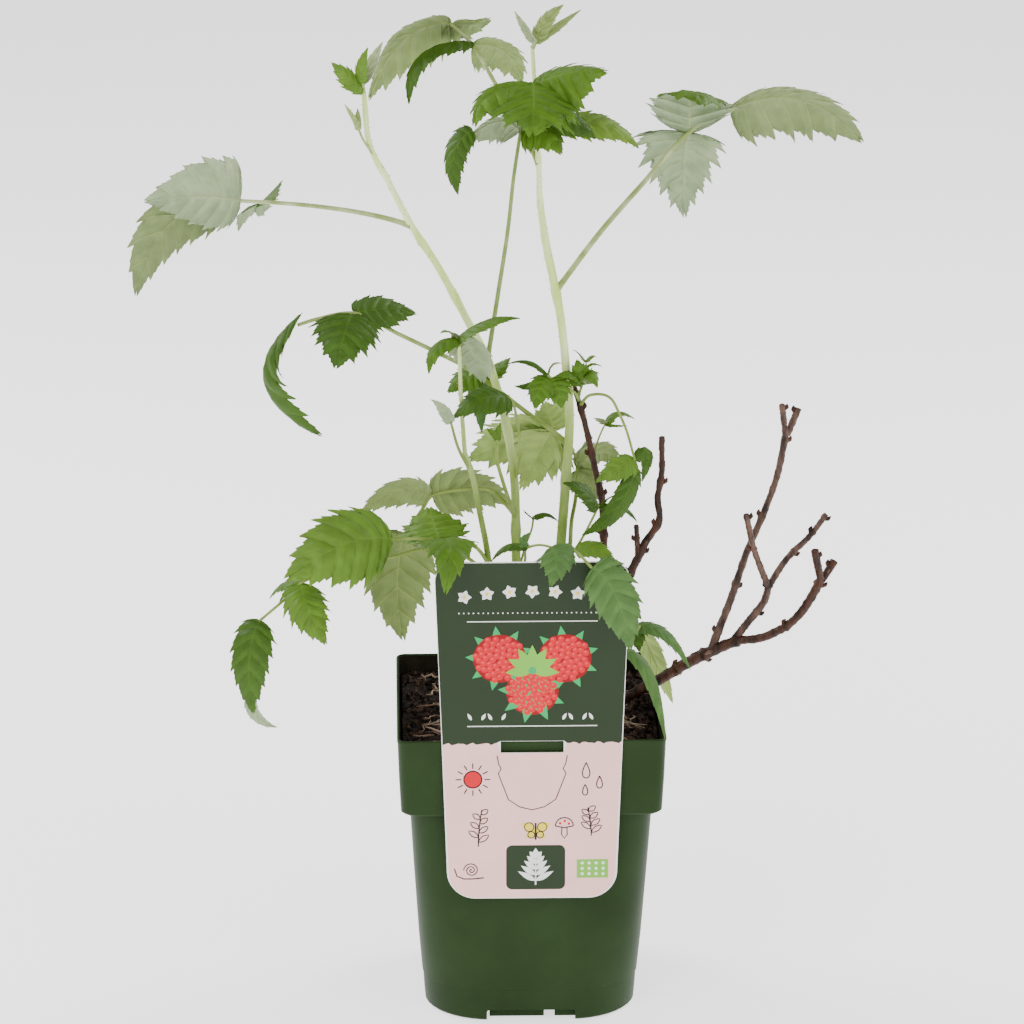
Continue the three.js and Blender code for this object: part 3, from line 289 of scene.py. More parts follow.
# Faces of the inner wall, above the floor and under the rim, take the second finish, darker and browner
# than the outside: painted shade inside the pot.
for face in pot.data.polygons:
    inward = face.normal.xy.dot(face.center.xy) < -0.3 * face.center.xy.length
    within = FLOOR_TOP * MM < face.center.z < (POT_TOP - 1.5) * MM
    face.material_index = 1 if inward and within else 0
finish_piece(pot, "pot_plastic", "pot", materials=[
    new_material("pot_green", 0.45, (0.05, 900), [(38, 53, 29), (43, 60, 34)], 24, gloss=0.08),
    new_material("pot_inside_painted_shade", 0.8, (0.2, 500), [(34, 31, 25), (48, 45, 36)], 90, gloss=0.05),
])


# ------------------------------------------------------------------ compost
# Peaty potting compost, dark and moist: a lumpy surface just under the rim, loose crumbs on
# it, and pale wood fibres. The canes come up through it.
SOIL_TOP = 161
SOIL_HALF = COLLAR_FOOT_HALF + 0.5 - WALL
SOIL_CORNER = 5
SOIL_DEPTH = 18  # of the lumpy top, over a plain block that fills the pot
SOIL_RINGS = [
    (FLOOR_TOP + 0.3, FOOT_HALF + 0.1 - WALL, 33.5),
    (COLLAR_FOOT, BODY_TOP_HALF - 0.4 - WALL, 15.5),
    (COLLAR_FOOT + 4.5, COLLAR_FOOT_HALF - 0.4 - WALL, 7),
    (SOIL_TOP - SOIL_DEPTH, COLLAR_FOOT_HALF - WALL, 7),
]
CRUMB_TONES = {
    "crumb_black": (17, 12, 10),
    "crumb_brown": (42, 31, 25),
    "crumb_umber": (70, 54, 45),
    "fibre_tan": (146, 126, 108),
    "fibre_brown": (112, 90, 76),
}
CRUMBS = 2600
FIBRES = 210
chance = np.random.default_rng(7)


def soil_height(x, y):
    """Height of the compost: level where the canes stand, uneven and banked at the walls."""
    a = np.sin(x * 0.11 + 1.7) * np.cos(y * 0.13 - 1.7)
    b = np.sin(x * 0.31 - y * 0.27 + 3.4)
    dip = np.clip((np.hypot(x - 15, y * 1.4) - 42) / 20, 0, 1)
    banked = 5 * np.clip((np.maximum(np.abs(x), y) - 40) / 30, 0, 1)
    return SOIL_TOP - 5 * dip * (0.5 - 0.5 * (0.65 * a + 0.35 * b)) - 0.3 + banked


def roughen(piece, *grains, direction="NORMAL", depth=2, middle=0.38):
    """Raises and sinks the surface by clouds of each size and strength."""
    for size, strength in grains:
        clouds = bpy.data.textures.new(f"grain_{size}", "CLOUDS")
        clouds.noise_scale = size * MM
        clouds.noise_depth = depth
        apply_modifier(
            piece, "DISPLACE", texture=clouds, texture_coords="LOCAL", direction=direction,
            strength=strength * MM, mid_level=middle,
        )


def unit(ways):
    """A vector, or each of a row of vectors, made one long."""
    return ways / np.linalg.norm(ways, axis=-1, keepdims=True)


def spread_out(values, places):
    """Values spaced evenly from 0 to 1, read at other places."""
    return np.interp(places, np.linspace(0, 1, len(values)), values)


def tube(path, radii, sides=6):
    """Vertices and faces of a closed round bar along a run of points."""
    path = np.asarray(path, float)
    count = len(path)
    along = unit(np.gradient(path, axis=0))
    across = np.array([1.0, 0, 0]) if abs(along[0][0]) < 0.9 else np.array([0, 1.0, 0])
    turn = np.arange(sides)[:, None] * 2 * np.pi / sides
    rings = []
    for centre, way, radius in zip(path, along, spread_out(radii, np.linspace(0, 1, count))):
        across = unit(across - way * across.dot(way))
        rings.append(centre + radius * (np.cos(turn) * across + np.sin(turn) * np.cross(way, across)))
    vertices = np.concatenate(rings + [path[:1], path[-1:]])
    faces = []
    first, last, top = count * sides, count * sides + 1, (count - 1) * sides
    for start in range(0, top, sides):
        for i in range(sides):
            j = (i + 1) % sides
            faces.append([start + i, start + j, start + sides + j, start + sides + i])
    for i in range(sides):
        j = (i + 1) % sides
        faces += [[first, j, i], [last, top + i, top + j]]
    return vertices, faces


def join_many(name, parts, materials, smooth=True):
    """One mesh of many small ones, each given as vertices, faces and finish."""
    points, faces, finish, base = [], [], [], 0
    for vertices, polygons, index in parts:
        points.append(np.asarray(vertices))
        faces.extend([[corner + base for corner in polygon] for polygon in polygons])
        finish.extend(np.broadcast_to(index, len(polygons)).tolist())
        base += len(vertices)
    mesh = bpy.data.meshes.new(name)
    mesh.from_pydata((np.concatenate(points) * MM).tolist(), [], faces)
    mesh.polygons.foreach_set("material_index", finish)
    mesh.polygons.foreach_set("use_smooth", [smooth] * len(faces))
    for material in materials:
        mesh.materials.append(material)
    return link_new(name, mesh)


bpy.ops.object.select_all(action="DESELECT")
bpy.ops.mesh.primitive_grid_add(x_subdivisions=150, y_subdivisions=150, size=2 * SOIL_HALF * MM)
soil = bpy.context.object
soil.name = soil.data.name = "compost"
co = np.array([v.co for v in soil.data.vertices]) / MM
inner = np.clip(np.abs(co[:, :2]), 0, SOIL_HALF - SOIL_CORNER)
over = np.abs(co[:, :2]) - inner
reach = np.linalg.norm(over, axis=1)
pull = np.where(reach > SOIL_CORNER, SOIL_CORNER / np.maximum(reach, 1e-9), 1.0)
co[:, :2] = np.sign(co[:, :2]) * (inner + over * pull[:, None])
co[:, 2] = soil_height(co[:, 0], co[:, 1])
soil.data.vertices.foreach_set("co", (co * MM).ravel())
roughen(soil, (7, 2.4), (2.2, 1.5), direction="Z", depth=3, middle=0.62)
bpy.ops.object.mode_set(mode="EDIT")
bpy.ops.mesh.select_all(action="SELECT")
extrude(0, 0, -16)
bpy.ops.transform.resize(
    value=(0.985, 0.985, 0.05), center_override=metres(0, 0, SOIL_TOP - SOIL_DEPTH)
)
close_piece()
bpy.ops.object.shade_smooth()
peat = new_material("compost_dark", 0.9, (0.8, 700), [(19, 13, 11), (64, 50, 42)], 420, (0.42, 0.72))
finish_piece(soil, "compost", "soil", materials=[peat])
finish_piece(ring_stack("compost_below", SOIL_RINGS), "compost", materials=[peat])

OCTAHEDRON = np.array([(1, 0, 0), (-1, 0, 0), (0, 1, 0), (0, -1, 0), (0, 0, 1), (0, 0, -1)], float)
OCTAHEDRON_FACES = [(0, 2, 4), (2, 1, 4), (1, 3, 4), (3, 0, 4), (2, 0, 5), (1, 2, 5), (3, 1, 5), (0, 3, 5)]
crumbs = []
for _ in range(CRUMBS):
    x, y = chance.uniform(-1, 1, 2) * (SOIL_HALF - 3)
    size = chance.uniform(0.5, 1.0) ** 2 * 2.6
    points = OCTAHEDRON * chance.uniform(0.5, 1.2, (6, 3)) * size
    points += (x, y, soil_height(x, y) + size * 0.15)
    crumbs.append((points, OCTAHEDRON_FACES, chance.integers(0, 3)))
for _ in range(FIBRES):
    x, y = chance.uniform(-1, 1, 2) * (SOIL_HALF - 12)
    way = chance.uniform(0, 2 * np.pi)
    steps = np.linspace(-0.5, 0.5, 5) * chance.uniform(6, 24)
    sway = chance.normal(0, 1.2, 5)
    height = soil_height(x, y) + chance.uniform(0.8, 3.0) + chance.normal(0, 0.5, 5)
    path = np.stack([x + np.cos(way) * steps - np.sin(way) * sway,
                     y + np.sin(way) * steps + np.cos(way) * sway, height], 1)
    path[:, :2] = np.clip(path[:, :2], 2 - SOIL_HALF, SOIL_HALF - 2)
    fibre = tube(path, [0.2, chance.uniform(0.3, 0.8), 0.2], 5)
    crumbs.append((*fibre, 3 + int(chance.integers(0, 2))))
crumb_finishes = [new_material(name, 0.92, (0.3, 1500), [tone]) for name, tone in CRUMB_TONES.items()]
finish_piece(join_many("compost_crumbs", crumbs, crumb_finishes, smooth=False), "compost")


# ------------------------------------------------------------------ label
# A hanging label, die-cut from white plastic card and printed on its front. A strap from its
# slot goes over the rim of the pot and hangs inside.
CARD_BACK = -75.6
CARD_THICK = 0.8
CARD_FRONT = CARD_BACK - CARD_THICK
CARD_TOP = 279
CARD_BOTTOM = 81
CARD_TOP_HALF = 54
CARD_BOTTOM_HALF = 47
CARD_TOP_RADIUS = 11
CARD_BOTTOM_RADIUS = 15.5
SLOT_HALF = 17.5
SLOT_LOW = 167.6
SLOT_HIGH = 174.4
STRAP_BACK = -72.5
STRAP_FOOT = 163.5
STRAP_DEPTH = STRAP_BACK + CARD_THICK / 2 - CARD_BACK

bpy.ops.object.select_all(action="DESELECT")
bpy.ops.mesh.primitive_plane_add(size=2, rotation=(math.pi / 2, 0, 0))
bpy.ops.object.transform_apply(location=False, rotation=True, scale=False)
card = bpy.context.object
card.name = card.data.name = "label_card"
for vert in card.data.vertices:
    half, height = (CARD_TOP_HALF, CARD_TOP) if vert.co.z > 0 else (CARD_BOTTOM_HALF, CARD_BOTTOM)
    vert.co = metres(math.copysign(half, vert.co.x), CARD_FRONT, height)
bpy.ops.object.mode_set(mode="EDIT")
for height, radius in ((CARD_TOP, CARD_TOP_RADIUS), (CARD_BOTTOM, CARD_BOTTOM_RADIUS)):
    select_level(card, height)
    bpy.ops.mesh.bevel(offset=radius * MM, segments=10, affect="VERTICES")
bpy.ops.mesh.select_all(action="SELECT")
extrude(0, CARD_THICK, 0)
close_piece()
slot_middle = (0, CARD_FRONT, (SLOT_LOW + SLOT_HIGH) / 2)
cut(card, box(2 * SLOT_HALF, 8, SLOT_HIGH - SLOT_LOW, slot_middle))

strap = start_piece("label_strap")
bpy.ops.mesh.primitive_plane_add(
    size=1, location=metres(0, CARD_BACK + STRAP_DEPTH / 2, SLOT_HIGH + 0.1 + CARD_THICK / 2)
)
bpy.ops.transform.resize(value=((2 * SLOT_HALF - 6) * MM, STRAP_DEPTH * MM, 1))
select_level(strap, CARD_BACK + STRAP_DEPTH, axis=1)
extrude(0, 0, STRAP_FOOT - SLOT_HIGH)
bpy.ops.object.mode_set(mode="OBJECT")
apply_modifier(strap, "BEVEL", width=0.5 * MM, segments=3, limit_method="ANGLE")
apply_modifier(strap, "SOLIDIFY", thickness=CARD_THICK * MM, offset=0.0)
select_only(strap, card)
bpy.ops.object.join()
finish_piece(card, "label_card", "label", materials=[
    new_material("card_white", 0.4, (0.03, 600), [(236, 234, 228), (246, 245, 240)], 30)
])

# The print: a deep green field over a cream one that looks like torn paper, with fruit and
# leaves on the green and small garden signs on the cream.
TEAR = 173.2
PRINT_EDGE = 0.5
INK_THICK = 0.05
LAYER_STEP = 0.003
INKS = {
    "green": (40, 54, 33),
    "cream": (255, 200, 195),
    "white": (240, 240, 236),
    "dark": (40, 34, 32),
    "crimson": (150, 14, 26),
    "red": (214, 34, 44),
    "rose": (232, 70, 80),
    "leaf": (40, 170, 96),
    "lime": (122, 190, 70),
    "yellow": (240, 214, 70),
}
BERRIES = [(-18, 223, 2), (18, 223, 2), (0, 204, 3)]  # place, and the layer of the leaves
BERRY_RADIUS = 14.6
GOLDEN_ANGLE = math.pi * (3 - math.sqrt(5))
UP = math.pi / 2
prints = []


def card_half(z):
    share = (z - CARD_BOTTOM) / (CARD_TOP - CARD_BOTTOM)
    return CARD_BOTTOM_HALF + (CARD_TOP_HALF - CARD_BOTTOM_HALF) * share


def arc(cx, cz, radius, start, stop, steps=8):
    turn = np.radians(np.linspace(start, stop, steps + 1))
    return [(cx + radius * math.cos(a), cz + radius * math.sin(a)) for a in turn]


def card_outline(inset):
    """The card's outline from the low right corner up, over and down, as a list of points."""
    top, low = CARD_TOP - inset, CARD_BOTTOM + inset
    rt, rb = CARD_TOP_RADIUS - inset, CARD_BOTTOM_RADIUS - inset
    xt, xb = card_half(top) - inset - rt, card_half(low) - inset - rb
    points = arc(xb, low + rb, rb, -90, 0) + arc(xt, top - rt, rt, 0, 90)
    return points + [(-x, z) for x, z in points[::-1]]


def tear_line(x):
    return TEAR + 0.5 * np.sin(x * 0.9) + 0.35 * np.sin(x * 2.3 + 1) + 0.006 * x


def ink(outline, name="dark", layer=2):
    """Prints a flat shape on the card, each layer a little in front of the last."""
    front = CARD_FRONT - INK_THICK * layer - LAYER_STEP * (len(prints) % 14)
    n = len(outline)
    vertices = [(x, y, z) for y in (front, front + INK_THICK) for x, z in outline]
    after = outline[1:] + outline[:1]
    area = sum(a[0] * b[1] - b[0] * a[1] for a, b in zip(outline, after))
    loop = list(range(n)) if area > 0 else list(range(n))[::-1]
    faces = [loop, [i + n for i in loop[::-1]]]
    faces += [[j, i, i + n, j + n] for i, j in zip(loop, loop[1:] + loop[:1])]
    prints.append((np.array(vertices), faces, list(INKS).index(name)))


def stroke(points, width, name="dark", layer=2):
    """A drawn line of even width."""
    points = np.asarray(points, float)
    along = np.gradient(points, axis=0)
    along /= np.linalg.norm(along, axis=1)[:, None] + 1e-12
    side = np.stack([-along[:, 1], along[:, 0]], 1) * width / 2
    ink([tuple(p) for p in (*(points + side), *(points - side)[::-1])], name, layer)


def ring(cx, cz, radius, width):
    points = arc(cx, cz, radius, 0, 360, 27)
    stroke(points[:-1], width, layer=3)
    stroke(points[-3:], width, layer=3)


def disc(cx, cz, radius, name, layer=2, squash=1.0, steps=24):
    turn = np.arange(steps) * 2 * np.pi / steps
    ink([(cx + radius * math.cos(a), cz + radius * squash * math.sin(a)) for a in turn], name, layer)


def petal(cx, cz, angle, length, width, name, layer=2):
    """A pointed leaf or petal from a point outwards."""
    share = np.linspace(0, 1, 11)
    half = width / 2 * np.sin(np.pi * share**0.8)
    ca, sa = math.cos(angle), math.sin(angle)
    upper, lower = (
        [(cx + ca * s * length - sa * h, cz + sa * s * length + ca * h) for s, h in zip(share, edge)]
        for edge in (half, -half)
    )
    ink(upper + lower[-2:0:-1], name, layer)


outline = card_outline(PRINT_EDGE)
tear = [(x, tear_line(x)) for x in np.linspace(-1, 1, 60) * (card_half(TEAR) - PRINT_EDGE)]
green_field = [p for p in outline if p[1] > TEAR]
green_field += [
    (x, max(z, SLOT_HIGH + 0.2) if abs(x) < SLOT_HALF + 0.3 else z) for x, z in tear
]
lower_right, lower_left = ([p for p in outline if p[1] < TEAR and p[0] * s > 0] for s in (1, -1))
cream_field = lower_left + lower_right
cream_field += [p for p in tear[::-1] if p[0] > SLOT_HALF + 0.3]
cream_field += [(s * (SLOT_HALF + 0.2), SLOT_LOW - 0.2) for s in (1, -1)]
cream_field += [p for p in tear[::-1] if p[0] < -SLOT_HALF - 0.3]
ink(green_field, "green", 1)
ink(cream_field, "cream", 1)

# three fruits round a leaf star, each a crimson disc set with small round drupelets
for bx, bz, layer in BERRIES:
    for k in range(9):
        petal(bx, bz, k * math.pi / 4.5 + 0.3, BERRY_RADIUS + 4.5, 7, "leaf", layer)
for bx, bz, _ in BERRIES:
    disc(bx, bz, BERRY_RADIUS, "crimson", 3, 0.96, 36)
    for k in range(52):
        away = BERRY_RADIUS * 0.92 * math.sqrt((k + 0.5) / 52)
        x = bx + away * math.cos(k * GOLDEN_ANGLE)
        z = bz + away * math.sin(k * GOLDEN_ANGLE) * 0.96
        disc(x, z, 1.85, "red", 4, steps=14)
        disc(x - 0.4, z + 0.6, 0.8, "rose", 5, 0.8, 10)
for k in range(-3, 4):
    petal(0, 216, UP + k * 0.55, 15, 6, "lime", 6)
disc(0, 216, 2.2, "leaf", 7)
# a garland of small white flowers over a dotted rule, two plain rules and a row of leaves
for k in range(7):
    fx, fz = (k - 3) * 12.5, 262 - 0.35 * (k - 3) ** 2
    for p in range(5):
        petal(fx, fz, p * 2 * math.pi / 5 + 0.3 * k, 4.1, 3, "white")
    disc(fx, fz, 1, "yellow", 3, steps=12)
for k in range(-15, 16):
    disc(k * 2.7, 249.5, 0.42, "white", steps=8)
for z in (244.6, 183.4):
    stroke([(-36, z), (0, z), (36, z)], 0.55, "white")
for k in (-6, -5, -4, -3, 3, 4, 5, 6):
    petal(k * 5.6, 187, UP + 0.5 * (-1) ** k, 4.6, 1.8, "white")
# a sun, three drops, two sprigs and a butterfly, drawn in thin lines on the cream field
ring(-33, 152, 5, 0.7)
disc(-33, 152, 4.8, "red")
for k in range(12):
    a = k * math.pi / 6
    stroke([(-33 + r * math.cos(a), 152 + r * math.sin(a)) for r in (6.4, 8, 9.6)], 0.65)
for dx, dz, size in ((30, 157, 4.6), (37.5, 150, 3.6), (29.5, 145.5, 3.2)):
    turn = np.linspace(0, 2 * np.pi, 30)
    stroke([(dx + size * 0.62 * math.sin(a) * math.sin(a / 2) ** 1.3, dz + size * math.cos(a))
            for a in turn], 0.65)
half_leaf = [(0, 0), (0.25, 1.1), (0.55, 1.5), (0.85, 0.8), (1, 0)]
sprig_leaf = half_leaf + [(s, -h) for s, h in half_leaf[-2::-1]]
for sx, sz, lean, size in ((-30, 112, 0.15, 22), (33, 118, -0.2, 17)):
    stem = [(sx + lean * t * size * 0.6 * t, sz + t * size) for t in np.linspace(0, 1, 9)]
    stroke(stem, 0.7)
    for k in range(1, 8):
        x, z = stem[k]
        a = UP + 0.95 * (-1) ** k
        ca, sa, tip = math.cos(a), math.sin(a), 7.5 - 0.4 * k
        stroke([(x + ca * s * tip + sa * h, z + sa * s * tip - ca * h) for s, h in sprig_leaf], 0.6)
for wing in (-1, 1):
    for size, rise in ((5.2, 0.6), (3.8, -0.7)):
        petal(2 + wing * 0.5, 121, UP - wing * (UP - rise), size * 1.7, size, "yellow")
        away = size * 0.85
        ring(2 + wing * away * math.cos(rise), 121 + away * math.sin(rise), size * 0.5, 0.55)
stroke([(2, 116), (2, 121), (2, 126)], 1, layer=4)
# a snail at the lower left, and a toadstool beside the butterfly
turns = np.linspace(0, 5 * math.pi, 50)
stroke([(-34 + 0.27 * a * math.cos(a), 98 + 0.27 * a * math.sin(a)) for a in turns], 0.6)
stroke([(-27, 93.4), (-33, 92.8), (-38, 92.8), (-42, 94.5), (-43.4, 99)], 0.7)
stroke(arc(18, 124, 5, 0, 180, 14), 0.65)
stroke([(13, 124), (18, 123), (23, 124)], 0.65)
stroke([(16.6, 123.4), (16.4, 119), (18, 116.6), (19.6, 119), (19.4, 123.4)], 0.6)
for dx, dz in ((-2.4, 1.6), (0.2, 3), (2.5, 1.4)):
    disc(18 + dx, 124 + dz, 0.75, "red", steps=10)
# a deep green badge with a white sprig, and a small lime plate of dots
cx, cz, hw, hh, r = 2, 99.5, 16.5, 13.2, 3.4
corners = []
for turn, (sx, sz) in enumerate([(1, -1), (1, 1), (-1, 1), (-1, -1)]):
    corners += arc(cx + sx * (hw - r), cz + sz * (hh - r), r, turn * 90 - 90, turn * 90)
ink(corners, "green")
stroke([(cx, cz + h) for h in (-10.5, 0, 8)], 0.8, "white", 3)
for k in range(5):
    for wing in (-1, 1):
        lean = UP - wing * (1.05 - 0.08 * k)
        petal(cx, cz - 8 + 3.4 * k, lean, 11.5 - 1.6 * k, 3.2, "white", 3)
petal(cx, cz + 6.5, UP, 5, 3, "white", 3)
ink([(25, 93), (42.5, 93), (42.5, 104), (25, 104)], "lime")
for i in range(4):
    for j in range(3):
        disc(28 + i * 3.9, 95.4 + j * 3.2, 0.9, "white", 3, steps=10)
# the die-cut outline of a tongue under the slot
tongue = [(19.5, 166), (18.6, 161), (17.2, 158.2), (18.8, 155.4), (17.6, 152), (13.2, 140),
          (7, 135.6), (0, 133.8)]
for sign in (1, -1):
    stroke([(sign * x, z) for x, z in tongue], 0.55)
ink_finishes = [
    new_material(f"ink_{name}", 0.38, (0.02, 900), [tone, tone], 45, shades=(0.93, 1))
    for name, tone in INKS.items()
]
finish_piece(join_many("label_print", prints, ink_finishes, smooth=False), "label_card")


# ------------------------------------------------------------------ green canes
# Last season's roots send up tall first-year canes, with a smooth light green skin. They are
# a little swollen at each node, and set with short prickles.
CANE_FOOT = SOIL_TOP + 0.3
GREEN_CANES = {  # points, radii, and the leaf joints as shares of the length
    "cane_left": (
        [(-5, 0, CANE_FOOT), (-7, 2, 255), (-8, 4, 301), (-13, 5, 336), (-23, 5, 371), (-37, 4, 400),
         (-51, 2, 427), (-65, 0, 450), (-78, 0, 476), (-87.5, -2, 496), (-90.6, -4, 526)],
        [2.8, 2.6, 2.4, 2.3, 2.1, 1.8, 1.25], [0.2, 0.29, 0.44, 0.55, 0.66, 0.755, 0.88, 0.97],
    ),
    "cane_right": (
        [(11, 8, CANE_FOOT), (18, 6, 258), (21, 6, 300), (23, 6, 336), (21, 5, 365), (18, 4, 394),
         (14.2, 3, 415), (9.6, 3, 438), (6.2, 4, 463), (5.5, 5, 483), (3.5, 8, 523), (2, 8, 548)],
        [3.1, 2.9, 2.7, 2.5, 2.3, 2.3, 1.3, 1.1], [0.2, 0.36, 0.5, 0.64, 0.84, 0.93],
    ),
    "shoot": (
        [(-17, -12, CANE_FOOT), (-23, -14, 260), (-28, -14, 289), (-32, -14, 310), (-36, -14, 322)],
        [1.9, 1.7, 1.5], [0.35, 0.6, 0.95],
    ),
    "shoot_stem": ([(-36, -14, 322), (-38, -14, 354), (-39, -17, 386)], [1.3, 1.1, 1], [0.5]),
}


def smooth_run(points, step=2.0):
    """Points along a centripetal curve through the given ones, about a step apart."""
    p = np.asarray(points, float)
    p = np.concatenate([[2 * p[0] - p[1]], p, [2 * p[-1] - p[-2]]])
    out = []
    for i in range(1, len(p) - 2):
        a, b, c, d = p[i - 1 : i + 3]
        t1 = np.linalg.norm(b - a) ** 0.5
        t2 = t1 + np.linalg.norm(c - b) ** 0.5
        t3 = t2 + np.linalg.norm(d - c) ** 0.5
        count = max(1, round(np.linalg.norm(c - b) / step))
        for t in t1 + (t2 - t1) * np.arange(count) / count:
            ab = a + (b - a) * t / t1
            bc = b + (c - b) * (t - t1) / (t2 - t1)
            cd = c + (d - c) * (t - t2) / (t3 - t2)
            abc = ab + (bc - ab) * t / t2
            bcd = bc + (cd - bc) * (t - t1) / (t3 - t1)
            out.append(abc + (bcd - abc) * (t - t1) / (t2 - t1))
    return np.array(out + [p[-2]])


def distances(path):
    """How far along a path each of its points is."""
    return np.concatenate([[0], np.cumsum(np.linalg.norm(np.diff(path, axis=0), axis=1))])


def cane_rings(points, radii, nodes, step=1.6, swell=0.22):
    """A cane's path, its radii, swollen at each node, and how far along each point is."""
    path = smooth_run(points, step)
    share = distances(path)
    share /= share[-1]
    radius = spread_out(radii, share)
    for node in nodes:
        radius = radius * (1 + swell * np.exp(-(((share - node) / 0.012) ** 2)))
    return path, radius, share


def cane_bar(name, path, radius):
    """A round bar along a path, as thick as told at each point: a bevelled curve made a mesh."""
    line = bpy.data.curves.new(name, "CURVE")
    line.dimensions = "3D"
    line.bevel_depth = 1.0
    line.bevel_resolution = 5
    line.use_fill_caps = True
    run = line.splines.new("POLY")
    run.points.add(len(path) - 1)
    run.points.foreach_set("co", np.column_stack([path * MM, np.ones(len(path))]).ravel())
    run.points.foreach_set("radius", radius * MM)
    select_only(link_new(name, line))
    bpy.ops.object.convert(target="MESH")
    bpy.ops.object.mode_set(mode="EDIT")
    bpy.ops.mesh.select_all(action="SELECT")
    bpy.ops.mesh.remove_doubles(threshold=0.001 * MM)
    close_piece()
    bpy.ops.object.shade_smooth_by_angle(angle=math.radians(50))
    return bpy.context.object


# The skin pales upwards, from 262 to 400 mm, to near white: partly the canes' pale bloom, partly painted
# highlight where the lamps catch them.
cane_green = new_material(
    "cane_skin", 0.6, (0.12, 1600), [(84, 108, 36), (126, 152, 70)], 90, stretch=(1, 1, 0.25),
    high_tones=[(190, 218, 112), (238, 252, 184)], heights=(262, 400),
)
prickle_tan = new_material("cane_prickle", 0.6, (0.12, 1600), [(150, 140, 82), (186, 176, 110)], 200)
PRICKLES_PER_RING = 0.9
prickles = []
for name, cane in GREEN_CANES.items():
    path, radius, _ = cane_rings(*cane)
    skin = cane_bar(name + "_skin", path, radius)
    roughen(skin, (6, 0.2))
    finish_piece(skin, "green_cane", name, materials=[cane_green])
    for _ in range(int(len(path) * PRICKLES_PER_RING)):
        k = chance.integers(2, len(path) - 2)
        way = unit(path[k + 1] - path[k - 1])
        out = chance.normal(size=3)
        out = unit(out - way * out.dot(way))
        length = chance.uniform(0.7, 1.7)
        start = path[k] + out * radius[k] * 0.9
        line = [start, start + out * length * 0.5, start + (out - 0.25 * way) * length]
        prickles.append((*tube(line, [0.22, 0.12, 0.02], 4), 0))
finish_piece(join_many("cane_prickles", prickles, [prickle_tan]), "green_cane")


# ------------------------------------------------------------------ old canes
# Two-year-old canes that fruited and were cut back: dry brown bark that peels in strips,
# knobbly at the nodes, with pale wood at the cuts.
OLD_CANES = {
    "old_cane_middle": (
        [(41, 15, CANE_FOOT), (43, 14, 250), (42, 13, 283), (36, 12, 313), (28, 11, 346),
         (20.5, 10.5, 366)],
        [1.9, 1.8, 1.9, 1.9, 1.6, 1.4], [0.5, 0.62, 0.74, 0.87],
    ),
    "old_cane_right": (
        [(38, -6, CANE_FOOT), (57, -8, 249), (62, -8, 260), (65, -8, 267), (73, -9, 281),
         (72, -9, 294), (74, -9, 307), (74, -10, 330)],
        [2.6, 2.4, 2.3, 1.8, 1.5], [0.3, 0.52, 0.6, 0.7, 0.85],
    ),
    "old_cane_right_stub": ([(61.4, -7.9, 258.4), (60, -12, 279)], [1.7, 1.2], [0.6]),
    "old_cane_low": (
        [(45, 7, CANE_FOOT), (50, 7, 165.5), (58, 6, 171.5), (74, 5, 181), (90, 4, 191.5),
         (106, 4, 199.5), (120, 4, 205.5)],
        [2.6, 2.8, 3.1, 3.3, 2.9], [0.35, 0.55, 0.75, 0.98],
    ),
    "old_branch_tall": (
        [(104, 4.4, 200.2), (109, 8, 212), (115, 13, 226), (124.5, 17, 254), (132.5, 19, 273),
         (140.5, 21, 295), (146, 23, 322)],
        [2.2, 2, 1.8, 1.8], [0.08, 0.3, 0.62, 0.97],
    ),
    "old_branch_tall_left": ([(145.6, 22.6, 320.6), (143, 17, 340)], [1.7, 1.7], [0.9]),
    "old_branch_tall_right": ([(146.6, 23.4, 320.6), (153, 28, 335)], [1.8, 1.9], [0.85]),
    "old_branch_middle": (
        [(117.5, 4.6, 206), (125.5, 6.5, 216), (133.5, 5, 227.5), (136, 2, 239)],
        [2.2, 2], [0.5, 0.97],
    ),
    "old_branch_middle_left": (
        [(135.4, 1.6, 238), (126.8, -4, 262), (122, -6, 283)], [1.9, 1.6, 1.6], [0.55, 0.95],
    ),
    "old_branch_middle_right": (
        [(136.2, 2.4, 238.2), (146, 7, 252), (160, 12, 265), (169, 16, 276)],
        [1.8, 1.7, 1.4], [0.45, 0.75, 0.95],
    ),
    "old_branch_far": (
        [(119.5, 3.6, 205.2), (131, 0, 207.5), (144.5, -5, 215.5), (152.5, -8, 224),
         (158.5, -10, 234), (164.4, -12, 246.5)],
        [2.3, 2.3, 2.5], [0.45, 0.95],
    ),
    "old_branch_far_left": ([(164.2, -12.6, 246), (160, -17, 265)], [2.0, 2.2], [0.8]),
    "old_branch_far_right": ([(165, -11.6, 245.8), (172, -5.5, 255)], [2.1, 2.2], [0.7]),
}
# The tall and middle branches take a lighter, greyer bark than the rest: partly weathered bark, partly
# painted light where the lamps fall on them.
bark_dark, bark_grey = (
    new_material(name, 0.5, (0.5, 900), tones, 260, gloss=gloss, stretch=(1, 1, 0.3))
    for name, tones, gloss in (
        ("old_bark", [(25, 14, 9), (76, 48, 34)], 0.25),
        ("weathered_bark_painted_light", [(38, 24, 18), (98, 73, 61)], 0.3),
    )
)
wood = new_material("cut_wood", 0.7, (0.2, 1500), [(150, 116, 82), (196, 166, 126)], 500)
flake_finish = new_material("bark_flake", 0.65, (0.3, 1200), [(58, 40, 32), (104, 82, 70)], 300)
FLAKES_PER_RING = 0.1
flakes = []
buds = []
